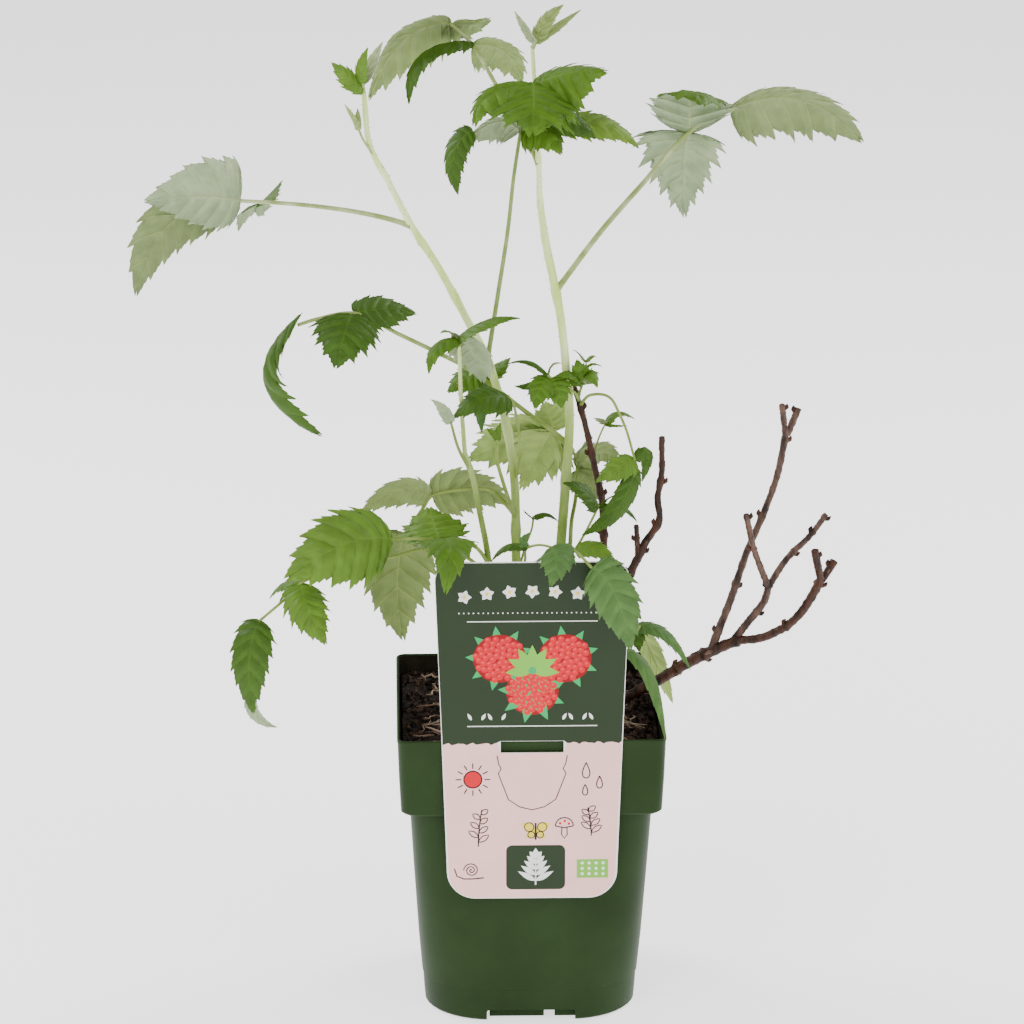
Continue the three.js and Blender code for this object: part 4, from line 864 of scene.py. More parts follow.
for number, (name, (points, radii, nodes)) in enumerate(OLD_CANES.items()):
    path, radius, share = cane_rings(points, radii, nodes, step=0.9, swell=0.3)
    radius = radius * (1 + 0.05 * np.sin(share * 90 + number))
    count = len(path)
    bark = cane_bar(name + "_bark", path, radius)
    roughen(bark, (3.2, 0.7), (1.1, 0.4))
    for face in bark.data.polygons:
        at_cut = (face.center - Vector(path[-1] * MM)).length < 0.5 * MM
        face.material_index = 1 if len(face.vertices) > 4 and at_cut else 0
    weathered_and_lit = name.startswith(("old_branch_tall", "old_branch_middle"))
    finish_piece(bark, "brown_cane", name, materials=[bark_grey if weathered_and_lit else bark_dark, wood])
    for turn, node in enumerate(nodes):
        at = min(int(node * (count - 1)), count - 3)
        way = unit(path[at + 1] - path[at])
        out = unit(np.cross(way, (0, 1, 0)) * (-1) ** (turn + number))
        start = path[at] + out * radius[at] * 0.7
        middle = start + out * 1.3 + way * 1.2
        tip = start + out * 1.6 + way * 3.4
        bud = tube([start, middle, (middle + tip) / 2, tip], [1.1, 1.3, 0.9, 0.15], 8)
        buds.append((*bud, 0))
    for _ in range(int(count * FLAKES_PER_RING)):
        start = chance.integers(1, max(2, count - 8))
        span = chance.integers(3, 8)
        around = chance.uniform(0, 2 * np.pi)
        strip = []
        for j in range(span):
            at = min(start + j, count - 2)
            way = unit(path[at + 1] - path[at - 1])
            a = unit(np.cross(way, (0.3, 0.8, 0.5)))
            b = np.cross(way, a)
            lift = 1.06 + 0.09 * (j / span) ** 2
            half = 0.32 * math.sin(math.pi * (j + 0.7) / (span + 0.6))
            for t, rise in ((around - half, 0), (around, 0.05), (around + half, 0)):
                spoke = a * math.cos(t) + b * math.sin(t)
                strip.append(path[at] + spoke * radius[at] * (lift + rise))
        quads = [[q, q + 1, q + 4, q + 3] for j in range(span - 1) for q in (3 * j, 3 * j + 1)]
        flakes.append((strip, quads, 0))
finish_piece(join_many("cane_buds", buds, [bark_dark]), "brown_cane")
flake_piece = join_many("bark_flakes", flakes, [flake_finish])
apply_modifier(flake_piece, "SOLIDIFY", thickness=0.12 * MM, offset=0.0)
finish_piece(flake_piece, "brown_cane")


# ------------------------------------------------------------------ leaves
# Compound leaves of toothed, pleated leaflets: matt green with sunken veins above, felted and
# pale with raised veins below. Each leaflet is a thin closed blade on a round stalk.
# The tints also carry painted light and shade, set leaf by leaf: lit, bright and glow are painted light,
# glow the most on its undersides, and dark is painted shade on leaves in the shade of others.
TINTS = {  # upper side, veins above, underside, veins below
    "dark": ((62, 92, 24), (72, 102, 34), (128, 146, 92), (140, 156, 98)),
    "green": ((78, 112, 28), (90, 122, 40), (132, 148, 98), (144, 160, 104)),
    "bright": ((94, 128, 43), (102, 134, 50), (134, 152, 92), (148, 164, 100)),
    "blue": ((80, 113, 58), (87, 120, 64), (138, 154, 116), (150, 166, 118)),
    "pale": ((78, 108, 30), (88, 118, 40), (146, 164, 126), (158, 172, 122)),
    "lit": ((100, 130, 44), (112, 140, 54), (134, 154, 92), (148, 166, 96)),
    "glow": ((100, 130, 44), (112, 140, 54), (168, 194, 108), (176, 200, 118)),
    "olive": ((86, 120, 34), (95, 128, 42), (121, 138, 88), (133, 149, 92)),
    "bud": ((136, 156, 88), (150, 168, 104), (154, 170, 124), (164, 178, 130)),
}
# Rows of a blade run along its side veins. Between one vein (phase 0) and the next (phase 1)
# the margin dips to a notch and climbs over two small teeth to the vein's own large tooth.
# Each blade has its rows' phases, how far the margin goes out at them, and its columns.
LARGE_BLADE = (
    np.array([0.035, 0.12, 0.34, 0.43, 0.63, 0.72, 0.87, 0.965, 1.0]),
    np.array([0.55, -0.95, -0.3, -0.6, 0.25, -0.1, 0.5, 0.92, 1.0]),
    np.array([0, 0.025, 0.14, 0.28, 0.43, 0.58, 0.72, 0.84, 0.93, 1.0]),
)
SMALL_BLADE = (
    np.array([0.15, 0.45, 0.6, 0.93, 1.0]),
    np.array([-1.0, 0.0, -0.3, 0.8, 1.0]),
    np.array([0, 0.04, 0.3, 0.6, 0.85, 1.0]),
)
FOLD = -0.18
CURL = 0.12
WAVE = 0.06


def margin(q, belly, lobe):
    """The outline of a raspberry leaflet, from its base (q = 0) to its tip (q = 1).

    A belly over 1 moves the widest place towards the tip. The lobe is how far the base
    reaches back past the stalk, as a share of the length."""
    x = q**1.1 - lobe * np.sin(np.pi * np.minimum(q * 2, 1))
    y = np.sin(np.pi * q ** (0.72 * belly)) ** 0.75 * (1 - 0.25 * q**4)
    return x, y


def midrib(base, middle, tip):
    """Points along a leaflet's midrib, how far along each is, and the way it runs there."""
    base, middle, tip = (np.asarray(p, float) for p in (base, middle, tip))
    control = 2 * middle - (base + tip) / 2
    t = np.linspace(0, 1, 60)[:, None]
    rib = (1 - t) ** 2 * base + 2 * t * (1 - t) * control + t**2 * tip
    return rib, distances(rib), unit(np.gradient(rib, axis=0))


def blade(base, middle, tip, up, width, tint, fold=FOLD, share=1.0, belly=1.0, lobe=0.09,
          tooth=0.2, pleat=0.08, veins=None):
    """A leaflet as vertices, faces and each face's finish. Its fold, its share of the half
    width, its belly and its lobe are numbers, or pairs for the left and the right half."""
    rib, run, along = midrib(base, middle, tip)
    length = run[-1]
    side = unit(np.cross(along, unit(np.array(up, float))))
    normal = np.cross(side, along)
    seed = np.random.default_rng(int(abs(base[0] * 13 + tip[2] * 7 + tip[0] * 3)))
    large = length > 17
    veins = veins or (7 if length > 32 else 6 if large else 5 if length > 10 else 3)
    phases, bites, columns = LARGE_BLADE if large else SMALL_BLADE
    q = np.clip(((np.arange(veins)[:, None] + phases) / veins).ravel(), 0.012, 0.995)
    bite = np.tile(bites, veins)
    ridge = np.tile(np.sin(np.pi * phases) ** 0.8, veins)
    outer = np.clip((columns - 0.55) / 0.45, 0, 1) ** 1.5
    hump = np.sin(np.pi * columns**0.8) * 0.9 + 0.3 * columns
    half = width / 2
    halves = []
    traits = (fold, share, belly, lobe)
    traits = (trait if isinstance(trait, tuple) else (trait, trait) for trait in traits)
    for sign, fold, share, belly, lobe in zip((-1, 1), *traits):
        edge_x, edge_y = margin(q, belly, lobe)
        depth = tooth * half * (0.35 + 0.65 * edge_y) * (1 - 0.3 * q)
        start = np.stack([0.97 * q**1.9 * length, 0 * q], 1)
        way = np.stack([edge_x * length, edge_y * half * share], 1) - start
        flat = start[:, None] + way[:, None] * columns[None, :, None]
        flat[:, :, 0] -= (columns * (1 - columns))[None] * edge_y[:, None] * 0.12 * half
        jag = way / (np.linalg.norm(way, axis=1)[:, None] + 1e-9) * 0.9 + np.array([0.35, 0])
        size = 1 + 0.22 * np.repeat(seed.normal(size=veins), len(phases))
        size = np.clip(size, 0.5, 1.5) * (1 + 0.14 * seed.normal(size=len(q)))
        flat += (jag * (bite * depth * size)[:, None])[:, None] * outer[None, :, None]
        x, y = flat[:, :, 0], np.maximum(flat[:, :, 1], 0)
        bow = (y / half) ** 2 * half
        z = pleat * half * (ridge * (0.3 + 0.7 * edge_y))[:, None] * hump + fold * y - CURL * bow
        z = z + WAVE * bow * np.sin(x / length * 9 + seed.uniform(0, 6.28))
        z = z + 0.010 * half * seed.normal(size=z.shape) * (columns > 0.05)
        halves.append((x, sign * y, z))
    rows, cols = len(q), 2 * len(columns) - 1
    x, y, z = (np.concatenate([a[:, :0:-1], b], 1) for a, b in zip(*halves))
    inside = np.clip(x, 0, length)

    def sample(field):
        return np.stack([np.interp(inside, run, field[:, i]) for i in range(3)], -1)

    mean_up = sample(normal)
    points = sample(rib) + sample(side) * y[..., None] + mean_up * z[..., None]
    points += sample(along) * (x - inside)[..., None]
    across = np.concatenate([columns[:0:-1], columns])[None]
    at_vein = np.tile(phases > 0.99, veins)[:, None]
    shrink = min(1.0, length / 42)
    thick = 0.15 * (1 - 0.4 * across)
    vein_row = at_vein * (1 - 0.9 * across) ** 0.5
    rib_row = np.where(across < 0.001, 0.75, 0) + np.where(np.isclose(across, columns[1]), 0.3, 0)
    under = thick + (0.32 * vein_row + rib_row * (1 - 0.8 * q[:, None] ** 2)) * shrink
    top = points + mean_up * (thick - 0.06 * vein_row)[..., None]
    low = points - mean_up * under[..., None]
    vertices = np.concatenate([top.reshape(-1, 3), low.reshape(-1, 3)])
    index = np.arange(rows * cols).reshape(rows, cols)
    a, b, c, d = (
        part.ravel() for part in (index[:-1, :-1], index[:-1, 1:], index[1:, 1:], index[1:, :-1])
    )
    upper = np.concatenate([np.stack([a, b, c], 1), np.stack([a, c, d], 1)])
    near_vein = (at_vein[:-1] | at_vein[1:]) & (across[:, 1:] + across[:, :-1] < 1.8)
    near_vein[:, len(columns) - 2 : len(columns)] = True
    # Rows from a vein to the crest of its pleat take the _shade finishes: painted shade on that flank.
    shaded_flank = np.tile(np.where(phases < 0.5, 2, 0), veins)[:-1, None]
    flag = np.tile(np.where(near_vein, 1, shaded_flank).ravel(), 2)
    loop = np.concatenate([index[0], index[1:, -1], index[-1, -2::-1], index[-2:0:-1, 0]])
    after = np.roll(loop, -1)
    below = rows * cols
    rim = np.concatenate(
        [np.stack([after, loop, loop + below], 1), np.stack([after, loop + below, after + below], 1)]
    )
    faces = np.concatenate([upper, upper[:, ::-1] + below, rim])
    v0, v1, v2 = (vertices[upper[:, i]] for i in range(3))
    if (np.cross(v1 - v0, v2 - v0) * np.tile(mean_up[:-1, :-1].reshape(-1, 3), (2, 1))).sum() < 0:
        faces = faces[:, ::-1]
    finish = np.concatenate([flag, 3 + flag, np.zeros(len(rim), int)])
    return vertices, faces.tolist(), finish + 6 * list(TINTS).index(tint)


blade_finishes = []
for tint, (upper, upper_vein, under, under_vein) in TINTS.items():
    # The factor after each tone dims it: the _shade finishes, darker than upper and under, are painted
    # shade on one flank of each pleat, and the vein factors tone the veins down.
    for part, tone, depth in (
        ("upper", upper, 1.03), ("upper_vein", upper_vein, 0.94), ("upper_shade", upper, 0.91),
        ("under", under, 1.04), ("under_vein", under_vein, 1.0), ("under_shade", under, 0.95),
    ):
        above = part.startswith("upper")
        leaf_skin = new_material(
            f"leaf_{tint}_{part}", 0.5 if above else 0.8, (0.12, 1500), [tone, tone], 120,
            shades=(0.86 * depth, 1.08 * depth),
        )
        felt = leaf_skin.node_tree.nodes["Principled BSDF"]
        set_inputs(felt, Sheen_Weight=0.0 if above else 0.25)
        blade_finishes.append(leaf_skin)
stalk_green = new_material(
    "stalk_skin", 0.6, (0.1, 1800), [(112, 134, 58), (138, 156, 86)], 110,
    high_tones=[(136, 152, 88), (176, 188, 136)], heights=(360, 460),
)
stalk_olive = new_material("stalk_skin_dark", 0.6, (0.1, 1800), [(108, 130, 66), (134, 152, 90)], 110)
foliage = {}
stalks = []


def group(name):
    """Starts a piece of foliage: the leaves named next are joined in it."""
    foliage[name] = ([], [])


def leaf(name, tint, stalk, radii):
    """Starts a compound leaf with its stalk, a little thicker where it leaves the cane."""
    leaves, _ = list(foliage.values())[-1]
    leaves.append((name, tint))
    path = smooth_run(stalk, 1.6)
    radii = spread_out(radii, np.linspace(0, 1, len(path)))
    radii = radii * (1 + 0.5 * np.exp(-np.arange(len(path)) * 0.55))
    olive = name == "leaf_top_low"
    stalks.append((*tube(path, radii, 9), int(olive)))


def leaflet(base, middle, tip, up, width, **traits):
    """A leaflet by its midrib's points, the way it faces, its width, and traits of a blade.
    It has its leaf's tint unless it is given one."""
    leaves, blades = list(foliage.values())[-1]
    _, tint = leaves[-1]
    blades.append(blade(base, middle, tip, up, width, **{"tint": tint, **traits}))


group("leaflets_high")
leaf("leaf_high_left", "pale", [(-65, 0, 450), (-82, 8, 453), (-102, 16, 455), (-130, 26, 456),
     (-160, 34, 456)], [1.6, 1.3, 1.1])
leaflet((-160, 34, 456), (-186, 40, 457), (-214, 42, 454), (0.05, 0.98, 0), 42, share=(1.25, 0.8),
        belly=(0.62, 0.9), lobe=(0.1, 0.06), tooth=0.12)
leaflet((-168, 42, 449), (-202, 54, 436.5), (-220.5, 56, 395.5), (0.3, 0.9, 0.1), 30, tint="olive",
        belly=1.15, tooth=0.2)
leaflet((-152, 38, 451), (-145, 46, 456), (-137, 52, 463), (-0.5, 0.75, 0.45), 17, fold=(-0.1, -1.1))
leaflet((-151, 38, 453), (-158, 48, 446), (-162, 52, 434), (-0.6, 0.75, 0.3), 13)
leaf("leaf_tip_left", "green", [(-90.8, -4, 526), (-91, -5, 532)], [1, 0.8])
leaflet((-91, -5, 529), (-99, -10, 536), (-108, -12, 545), (-0.4, -0.6, 0.7), 12, tint="bright")
leaflet((-91, -5, 531), (-92, -7, 541), (-88, -6, 552), (-0.2, -0.9, 0.2), 7, tint="bright")
leaflet((-91, -5, 531), (-87, 1, 540), (-80, 4, 553), (0.3, 0.8, 0.4), 7, tint="bud")
leaf("bud_left", "bud", [(-84, -0.8, 488), (-91.5, -6, 501), (-94, -8, 508)], [0.8, 0.6])
leaflet((-94, -8, 506), (-97, -9, 513), (-101, -10, 521), (-0.8, -0.5, 0.2), 7)
leaflet((-94, -8, 506), (-94, -7, 512), (-94, -5, 518), (0, -0.9, 0.2), 4)
leaf("leaf_top_arch", "pale", [(5.5, 5, 483), (-1, 12, 496), (-10, 22, 510), (-19, 30, 525),
     (-31, 38, 544), (-43, 42, 555)], [1.4, 1.2, 1])
leaflet((-42, 42, 555), (-69, 42, 545), (-88, 30, 515), (-0.45, 0.7, 0.6), 36, tint="lit",
        share=(0.95, 1.25))
leaflet((-41, 42, 555), (-30, 50, 552), (-20, 56, 553), (0.1, 0.75, 0.65), 27, tint="lit")
leaflet((-31, 38, 545), (-58, 26, 540), (-66, 14, 516), (-0.55, -0.1, 0.8), 26, tint="dark")
leaflet((-30, 38, 543.5), (-11.5, 46, 537), (-3, 50, 519), (0.35, 0.8, 0.45), 31, tint="lit", belly=1.2,
        share=(1.15, 0.7))
leaf("leaf_top_front", "green", [(3.5, 8, 521), (3, 0, 529), (2, -13, 532)], [1, 0.9])
leaflet((2, -12, 532), (22, -16, 539.5), (41, -22, 542), (0.1, -0.75, 0.65), 56, fold=(-1.3, -0.1),
        share=(0.5, 1.05), tint="olive")
leaflet((2, -12, 531), (-22, -24, 529), (-31, -34, 515), (-0.4, -0.5, 0.75), 38, share=(1.1, 0.42),
        belly=1.2, tint="olive", tooth=0.26)
leaflet((2, -12, 533), (1.5, -38, 526), (0.5, -50, 513), (0, -0.75, 0.65), 50, belly=1.6, pleat=0.06)
leaf("leaf_top_low", "green", [(-23, 5, 371), (-17, -8, 415), (-12, -14, 451), (-9, -16, 480),
     (-5, -12, 506)], [1.4, 1.2, 1])
leaflet((-5, -12, 506), (-18, -14, 512), (-35, -19, 502), (-0.1, 0.9, 0.3), 19, tint="blue",
        share=(0.4, 1.3))
leaflet((-31, -19, 508), (-41.5, -24, 497), (-39.6, -30, 475), (-0.5, -0.7, 0.4), 16, tint="dark")
leaflet((-4, -12, 506), (8, -19, 506), (17, -24, 496), (0.1, -0.6, 0.75), 25, tint="olive")
leaflet((-4, -12, 505), (18, -14, 512), (36, -14, 502), (0.1, -0.7, 0.7), 22, tint="dark")
leaflet((16, -10, 509), (42, -8, 508), (60, -5, 494.5), (0.2, -0.6, 0.75), 19, tint="lit")
leaf("leaf_tip_right", "bud", [(2, 8, 548), (5, 8, 554)], [1, 0.9])
leaflet((3.3, 8, 551), (-2, 5, 560), (-8, 2, 570), (0.5, 0.8, 0.2), 6)
leaflet((4, 8, 552), (10, 6, 564), (19, 4, 573), (-0.3, -0.9, 0.1), 9, pleat=0.3)
leaflet((3.4, 8, 551), (16, 11, 560), (29, 14, 568), (-0.4, -0.5, 0.8), 7)
leaf("leaf_high_right", "pale", [(14.8, 3, 411), (40, 14, 442), (64, 28, 466), (90, 43, 491),
     (116, 56, 502)], [1.7, 1.5, 1.2])
leaflet((90, 43, 491), (88, 50, 467), (89, 52, 441), (0.05, 0.95, -0.1), 47, share=(1.15, 0.84),
        belly=(0.5, 0.65), lobe=(0.12, 0.2))
leaflet((91, 44, 491), (92, 46, 513), (97, 28, 511), (0, 0.6, 0.8), 48, belly=1.45, lobe=0.04)
leaflet((114, 56, 502), (154, 61, 505.5), (189, 58, 482), (0.1, 0.85, 0.5), 39, tint="olive",
        share=(1.3, 0.8), belly=(1.05, 1.75), lobe=(0.14, 0.06), fold=(-0.1, -0.35), tooth=0.24)
leaf("leaf_mid_left", "dark", [(22.6, 6, 321), (13, 12, 328), (-1, 14, 338), (-13, 13, 348),
     (-33, 8, 365), (-49, 0, 376), (-72, -12, 391), (-97, -22, 406), (-117, -22, 403), (-128, -20, 399)],
     [1.5, 1.3, 1.2, 1])
leaflet((-98, -22, 406), (-102, -40, 400), (-107, -50, 383), (-0.05, -0.85, 0.55), 36, belly=1.2)
leaflet((-97, -22, 406), (-79, -15, 406.5), (-63, -8, 402), (0.1, -0.6, 0.8), 24, belly=1.15)
leaflet((-126.5, -20, 405), (-147, -26, 369), (-116, -30, 338.5), (-0.9, -0.2, 0.3), 24, fold=-0.4,
        belly=1.6, lobe=0.0, tooth=0.42)
group("leaflets_middle")
leaf("leaf_shoot_tip", "green", [(-39, -17, 386), (-40, -21, 392)], [1, 0.9])
leaflet((-40, -21, 391), (-25, -28, 402), (-6, -34, 406), (0.1, -0.3, 0.95), 14)
leaflet((-40, -20, 391), (-31, -15, 381), (-26, -8, 362), (0.5, 0.8, 0.3), 27, tint="pale", belly=1.2,
        pleat=0.18)
leaflet((-40, -21, 391), (-52, -32, 388), (-56, -38, 376), (-0.5, -0.5, 0.7), 14)
leaflet((-40, -20, 391), (-45, -18, 394), (-48, -12, 393), (-0.3, 0.6, 0.7), 9)
leaf("leaf_shoot_bud", "pale", [(-33.4, -14, 313.4), (-39.6, -19.6, 327), (-44, -24, 344)], [1, 0.7])
leaflet((-44, -24, 343), (-49, -26, 353), (-55, -28, 358), (-0.4, 0.5, 0.7), 7)
leaf("leaf_mid_dark", "dark", [(-8, 4, 300), (-5, -3, 318), (-6, -8, 334), (-9, -10, 350),
     (-12, -10, 355)], [0.9, 0.75])
leaflet((-11, -10, 353), (-28, -21, 356), (-42.5, -21, 345), (-0.2, -0.6, 0.8), 22)
leaf("leaf_mid_behind", "green", [(-22, 5, 367), (-24, 18, 359)], [0.9, 0.8])
leaflet((-24, 18, 359), (-33, 17, 358), (-45, 14, 350), (-0.1, -0.5, 0.8), 23)
leaflet((-24, 18, 359), (-17, 18, 362), (-10, 16, 369), (0.2, -0.4, 0.8), 12)
leaflet((-24, 18, 359), (-26, 19, 343), (-26, 17, 325), (0.3, -0.9, 0.2), 11, tint="blue")
leaf("leaf_node_left", "dark", [(28.5, 10, 346), (25, -1, 354), (18, -6, 359), (10, -8, 366)], [0.8, 0.7])
leaflet((12, -8, 364), (16, -13, 358), (18, -15, 349), (0.1, -0.8, 0.6), 17, tint="green")
leaflet((11, -8, 364), (6, -15, 360), (3, -21, 350), (-0.1, -0.8, 0.6), 15, tint="green")
leaflet((11, -8, 365), (1, -4, 359), (-8, -6, 359), (0, -0.5, 0.85), 8)
leaflet((10, -8, 366), (-1, -5, 373), (-13, -2, 370), (0, -0.1, 1), 6)
leaflet((10, -8, 366), (13, -4, 371), (18, -3, 371), (0, 0.6, 0.8), 6)
leaf("leaf_node_top", "green", [(28.2, 10, 349), (30, 2, 358), (32, 3, 366), (32, 4, 371)], [0.8, 0.7,
     0.5, 0.45])
leaflet((30, 2, 357), (24, -4, 365), (14, -9, 365), (0.2, -0.4, 0.9), 9)
leaflet((30, 2, 357), (28, -2, 367), (27, 1, 372), (0, -0.8, 0.5), 14)
leaflet((30, 2, 357), (34, -3, 365), (38, -6, 358), (0.3, -0.5, 0.8), 13)
leaflet((32, 4, 370), (28, 4, 375), (24.6, 3, 377), (0, 0, 1), 5)
leaflet((32, 4, 370), (35, 5, 373), (38, 6, 372), (0, 0, 1), 5)
leaflet((32, 3, 367), (36, 4, 369), (41, 4, 367), (0, 0, 1), 4)
leaf("leaf_hanging_right", "dark", [(29.2, 10.8, 343), (34, 2, 351), (42, -4, 353), (46, -6, 351),
     (50, -9, 344), (54, -12, 335), (58, -14, 321), (59, -14, 317)], [0.9, 0.8, 0.7])
leaflet((59, -14, 318), (49, -19, 315), (37, -22, 308), (-0.2, -0.75, 0.65), 16, tint="bright")
leaflet((59, -15, 314), (49, -22, 292), (29, -20, 276), (0.4, -0.85, 0.3), 13)
leaflet((59, -14, 318), (66, -11, 320), (63, -13, 305), (0.4, -0.8, 0.5), 8)
leaf("leaf_small_trio", "green", [(36.6, 12, 310), (39.5, 18, 320), (44, 20, 330)], [0.6, 0.5])
leaflet((44, 20, 329), (41, 19, 332), (37, 17, 333), (0, 0.5, 0.85), 6)
leaflet((44, 20, 329), (51, 22, 335), (60, 22, 331), (0, -0.1, 1), 8)
leaflet((44, 20, 329), (50, 17, 329), (56, 16, 329), (0, 0, 1), 5)
leaf("leaf_back_left", "lit", [(21, 6, 305), (19, 13, 314), (14, 20, 326)], [1.2, 1])
leaflet((14, 20, 325), (6, 30, 308), (-3, 33, 287), (0, 0.9, 0.2), 36, tooth=0.26, tint="glow")
leaflet((13.7, 20, 326), (-9, 33, 316), (-33, 38, 303), (0, 0.85, 0.4), 46, tooth=0.26, tint="glow")
leaflet((14, 20, 325), (12.5, 25, 331), (9.5, 30, 339), (0, 0.9, 0.1), 26, tint="glow")
leaf("leaf_back_right", "lit", [(16.5, 6.4, 234), (21.5, 7, 248), (23.5, 7.5, 261), (24.5, 12, 274),
     (27, 18, 286), (28, 23, 303)], [1.4, 1.2, 1])
leaflet((28, 22.8, 302), (41, 32, 309), (52, 36, 300), (0.05, 0.85, 0.4), 23)
leaflet((28, 22.5, 301), (34, 29, 292), (41, 31, 281), (0, 0.85, 0.35), 20)
leaflet((28, 22.9, 302.4), (32, 31, 310), (37, 37, 316), (-0.05, 0.8, 0.5), 13)
leaf("young_shoot", "pale", [(-7.6, 3.2, 279), (-11, -7, 292), (-15, -12, 306), (-18, -15, 319),
     (-18, -16, 331)], [1.3, 1.1, 0.9])
leaflet((-18, -16, 330), (-20, -16, 334), (-24, -17, 338), (-0.5, -0.7, 0.4), 4)
leaflet((-18, -16, 330), (-17.5, -15.5, 335), (-16, -14, 340), (0.2, -0.9, 0.2), 4.5)
leaf("leaf_crown_right", "bright", [(17.6, 6.1, 251), (23, -2, 260), (27, -6, 263)], [0.8, 0.7])
leaflet((26, -5, 262), (36, -12, 266), (48, -22, 261), (0, -0.6, 0.8), 13)
leaf("leaf_crown_middle", "dark", [(-6.7, 1.7, 239), (-4, 8, 252), (-1, 10, 262), (2, 11, 270),
     (3, 11, 277)], [0.75, 0.6])
leaflet((3, 11, 276), (0, 10, 279), (-3, 9, 282), (0, 0, 1), 5)
leaflet((3, 11, 276), (10, 14, 278), (17, 15, 273), (0, -0.2, 1), 6)
leaf("leaf_crown_dark", "dark", [(17, 6.2, 245), (23.5, 2.5, 256), (31, 1, 269), (39.5, 0, 287)], [0.8,
     0.7])
leaflet((39, 0, 286), (30, -5, 298), (19, -5, 302), (0, -0.5, 0.85), 14)
leaflet((39, 0, 286), (52, 4, 285), (61, 4, 276), (0, -0.3, 0.9), 7)
leaflet((39, 0, 286), (45, 5, 290), (51, 7, 291), (0, 0.5, 0.85), 6)
group("leaflets_low")
leaf("leaf_low_left_back", "lit", [(-7.5, 3, 281), (-14, 12, 286), (-21, 17, 291), (-32, 20, 291),
     (-50, 22, 288), (-55, 22, 286), (-60, 19, 279), (-70, 13, 267)], [1.3, 1.1, 0.9])
leaflet((-54, 22, 286), (-31, 25, 289), (-10, 23, 281), (0, 0.92, 0.1), 29, fold=-0.05)
leaflet((-55, 22, 286), (-73, 28, 288), (-95, 26, 275), (0, 0.9, 0.25), 19)
leaflet((-70, 13, 268), (-74, 8, 238), (-71, -2, 209), (-0.05, 0.93, -0.1), 41, belly=0.9)
leaf("leaf_low_left_front", "bright", [(-22.8, -14, 258), (-30, -19, 269), (-40, -26, 275),
     (-51, -30, 277), (-64, -30, 278), (-78, -28, 277)], [1.1, 1, 0.8])
leaflet((-51, -30, 278), (-54, -14, 282), (-56, 2, 286), (0, -0.5, 0.85), 38, belly=1.4)
leaflet((-50, -30, 276.5), (-45.4, -78, 288), (-48, -90, 265.5), (0.05, -0.6, 0.8), 32, fold=-0.08,
        tint="green")
leaflet((-77, -28, 277), (-103, -43, 279), (-136, -52, 262), (-0.1, -0.8, 0.55), 46, lobe=0.03, belly=1.1)
leaf("leaf_low_left_far", "green", [(-22, -13.6, 247), (-32, -13, 259), (-44, -12, 265), (-60, -12, 266),
     (-74, -14, 263), (-106, -18, 257), (-128, -26, 251), (-137, -30, 243), (-152, -34, 231)], [1.1, 1,
     0.9, 0.8])
leaflet((-128, -26, 251), (-124, -40, 240), (-114, -50, 223), (0.1, -0.85, 0.5), 24, tint="bright")
leaflet((-128, -26, 251), (-138, -14, 247), (-146, -8, 236), (-0.3, -0.2, 0.9), 13)
leaflet((-151, -34, 232), (-157, -43, 212), (-155.5, -40, 179), (-0.2, -0.9, 0.4), 23, belly=1.05,
        tint="dark")
leaflet((-157, -40.5, 189), (-152.7, -38.5, 176.4), (-142.2, -37, 169.6), (0.3, 0.9, 0.2), 8, tint="pale")
leaf("leaf_over_label_right", "blue", [(17, 6.2, 242), (19, -20, 266), (20, -64, 283), (25, -77, 284),
     (32, -87, 279)], [1.1, 1, 0.8])
leaflet((33, -86, 279), (46, -91, 262), (53.5, -92, 232.5), (0.1, -0.9, 0.4), 27, fold=-0.1, tooth=0.18,
        pleat=0.06)
leaf("leaf_over_label_middle", "blue", [(-6, 1.4, 236), (-3, -30, 264), (-2, -60, 282), (5, -68, 286),
     (11.5, -69.5, 285)], [0.9, 0.8, 0.7])
leaflet((10, -69.5, 285), (13, -82, 282.5), (9.5, -90, 269.5), (0, -0.7, 0.7), 22, belly=0.85, pleat=0.06)
leaflet((-2, -60, 281.6), (-13, -58, 282), (-22, -62, 275), (-0.3, -0.3, 0.9), 7, tint="dark")
leaflet((-2, -60, 281.6), (-4, -58, 285), (-1, -58, 290), (0.5, -0.8, 0.2), 6)
leaf("leaf_low_right", "dark", [(45.6, -6.9, 198), (52, -20, 214), (61, -34, 227), (58, -47, 227),
     (51.5, -60, 223.5)], [1, 0.8, 0.7])
leaflet((60, -34, 227), (76, -38, 223), (89.5, -40, 203), (0.3, -0.5, 0.8), 10, belly=0.75, tint="blue",
        tooth=0.3)
leaflet((60, -33, 226), (60, -36, 220), (61, -38, 213), (-0.3, -0.8, 0.4), 9)
leaflet((52, -60, 221.5), (65.5, -70, 208.5), (73.8, -81, 175), (0.3, -0.6, 0.6), 8.5, tint="blue",
        belly=0.75, veins=6)
leaf("leaf_low_right_back", "lit", [(41.4, 15, 188), (54, 21, 201), (66, 19, 209)], [0.9, 0.8])
leaflet((63.5, 19, 209), (71.5, 20, 191), (83.5, 23, 160.5), (-0.3, 0.8, 0.5), 12, tooth=0.28, tint="glow")
leaf("leaf_rear_left", "green", [(-5.7, 0.8, 200), (-14, 20, 215), (-25, 37, 221)], [1.1, 0.8])
leaflet((-24, 36, 221), (-34, 54, 219), (-42, 70, 203), (-0.2, 0.4, 0.9), 28)
leaflet((-23, 34, 220.5), (-36, 34, 222), (-49, 32, 211), (-0.2, 0.1, 1), 22)
leaflet((-23, 34, 220.5), (-14, 46, 220), (-7, 58, 208), (0.2, 0.3, 0.9), 20)
leaf("leaf_rear_right", "green", [(13.7, 7.3, 194), (22, 26, 208), (31, 41, 212)], [1.1, 0.8])
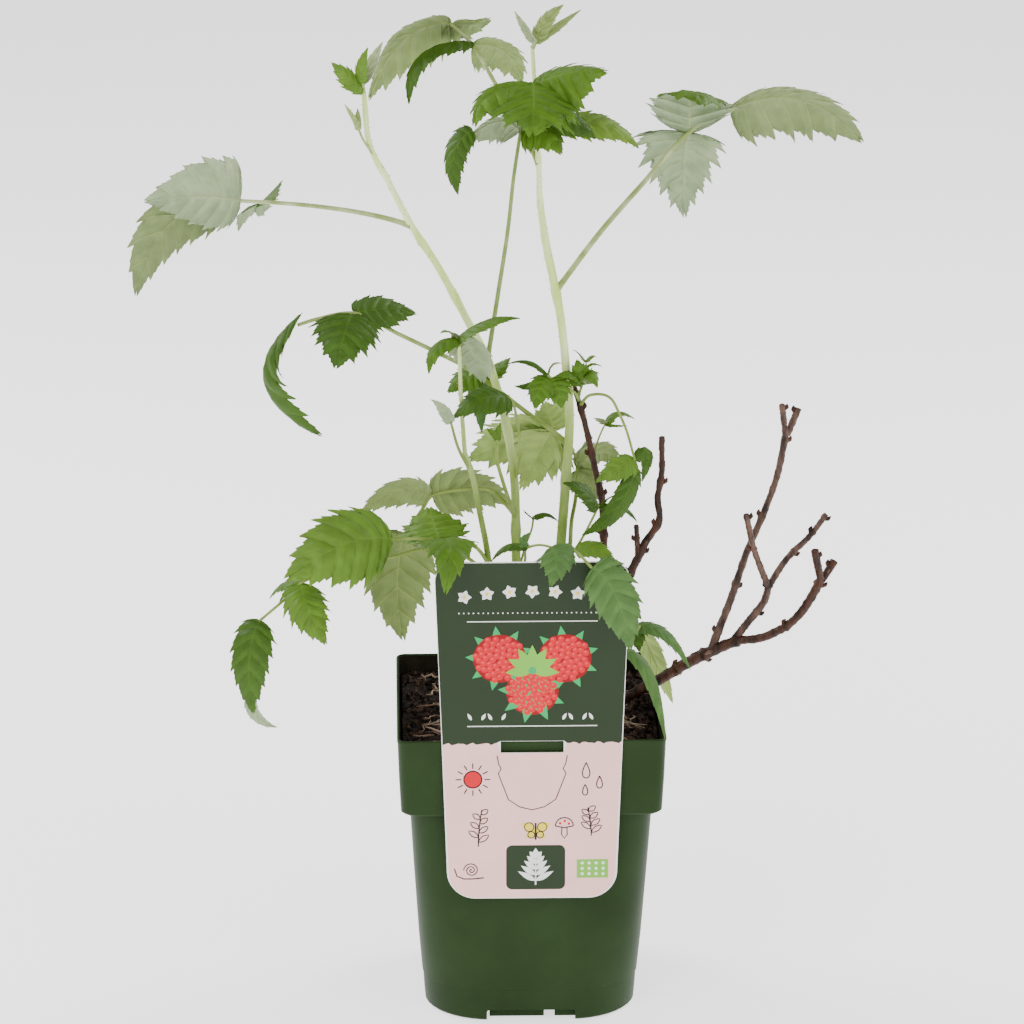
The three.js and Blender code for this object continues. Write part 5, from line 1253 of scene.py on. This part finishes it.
leaflet((30, 40, 212), (38, 56, 209), (44, 70, 190), (0.2, 0.4, 0.9), 28)
leaflet((29, 38, 211.5), (18, 47, 212), (9, 56, 200), (-0.2, 0.3, 0.9), 20)
leaflet((29, 38, 211.5), (42, 37, 213), (54, 36, 200), (0.3, 0.1, 0.9), 20)
for name, (leaves, blades) in foliage.items():
    nodes = [node for node, _ in leaves]
    finish_piece(join_many(name, blades, blade_finishes), "leaf_green", *nodes)
finish_piece(join_many("leaf_stalks", stalks, [stalk_green, stalk_olive]), "leaf_underside")


# ------------------------------------------------------------------ room
# A pale floor that runs out of sight, soft studio light from above and both sides, and the
# camera at the height of a table, looking slightly down.
LAMPS = {  # place in metres, size and power
    "key": ((-1.2, -1.9, 2.0), 1.4, 32),
    "fill": ((1.6, -1.6, 1.2), 1.4, 16),
    "rim_left": ((-1.3, 0.9, 1.3), 0.9, 26),
    "rim_right": ((1.3, 0.9, 1.3), 0.9, 22),
}
LAMP_TARGET = Vector((0, 0, 0.3))
VIEW_PITCH = math.radians(17.6)
VIEW_TURN = math.radians(-1.36)
VIEW_DISTANCE = 3.0
VIEW_TARGET = Vector((-9.4, 0, 283.6)) * MM
PICTURE_PIXELS = 1024
FOCAL_PIXELS = 5338
SENSOR = 36

bpy.ops.object.select_all(action="DESELECT")
bpy.ops.mesh.primitive_plane_add(size=30, location=metres(0, 0, -0.2))
floor = bpy.context.object
floor.name = "floor"
paint = bpy.data.materials.new("floor_pale")
paint.use_nodes = True
set_inputs(
    paint.node_tree.nodes["Principled BSDF"], Base_Color=(0.9, 0.9, 0.9, 1), Roughness=0.9,
    Emission_Color=(1, 1, 1, 1), Emission_Strength=1.3,
)
floor.data.materials.append(paint)

world = bpy.data.worlds.new("studio")
bpy.context.scene.world = world
world.use_nodes = True
set_inputs(world.node_tree.nodes["Background"], Color=(1, 1, 1, 1), Strength=0.6)

for name, (spot, size, power) in LAMPS.items():
    light = bpy.data.lights.new(name, "AREA")
    light.size = size
    light.energy = power
    lamp = link_new(name, light)
    lamp.location = spot
    lamp.rotation_euler = (LAMP_TARGET - Vector(spot)).to_track_quat("-Z", "Y").to_euler()

back = Vector((
    math.sin(VIEW_TURN) * math.cos(VIEW_PITCH),
    -math.cos(VIEW_TURN) * math.cos(VIEW_PITCH),
    math.sin(VIEW_PITCH),
))
lens = bpy.data.cameras.new("camera")
lens.sensor_width = SENSOR
lens.lens = FOCAL_PIXELS / PICTURE_PIXELS * SENSOR
lens.clip_end = 100
camera = link_new("camera", lens)
camera.location = VIEW_TARGET + back * VIEW_DISTANCE
camera.rotation_euler = back.to_track_quat("Z", "Y").to_euler()
bpy.context.scene.camera = camera
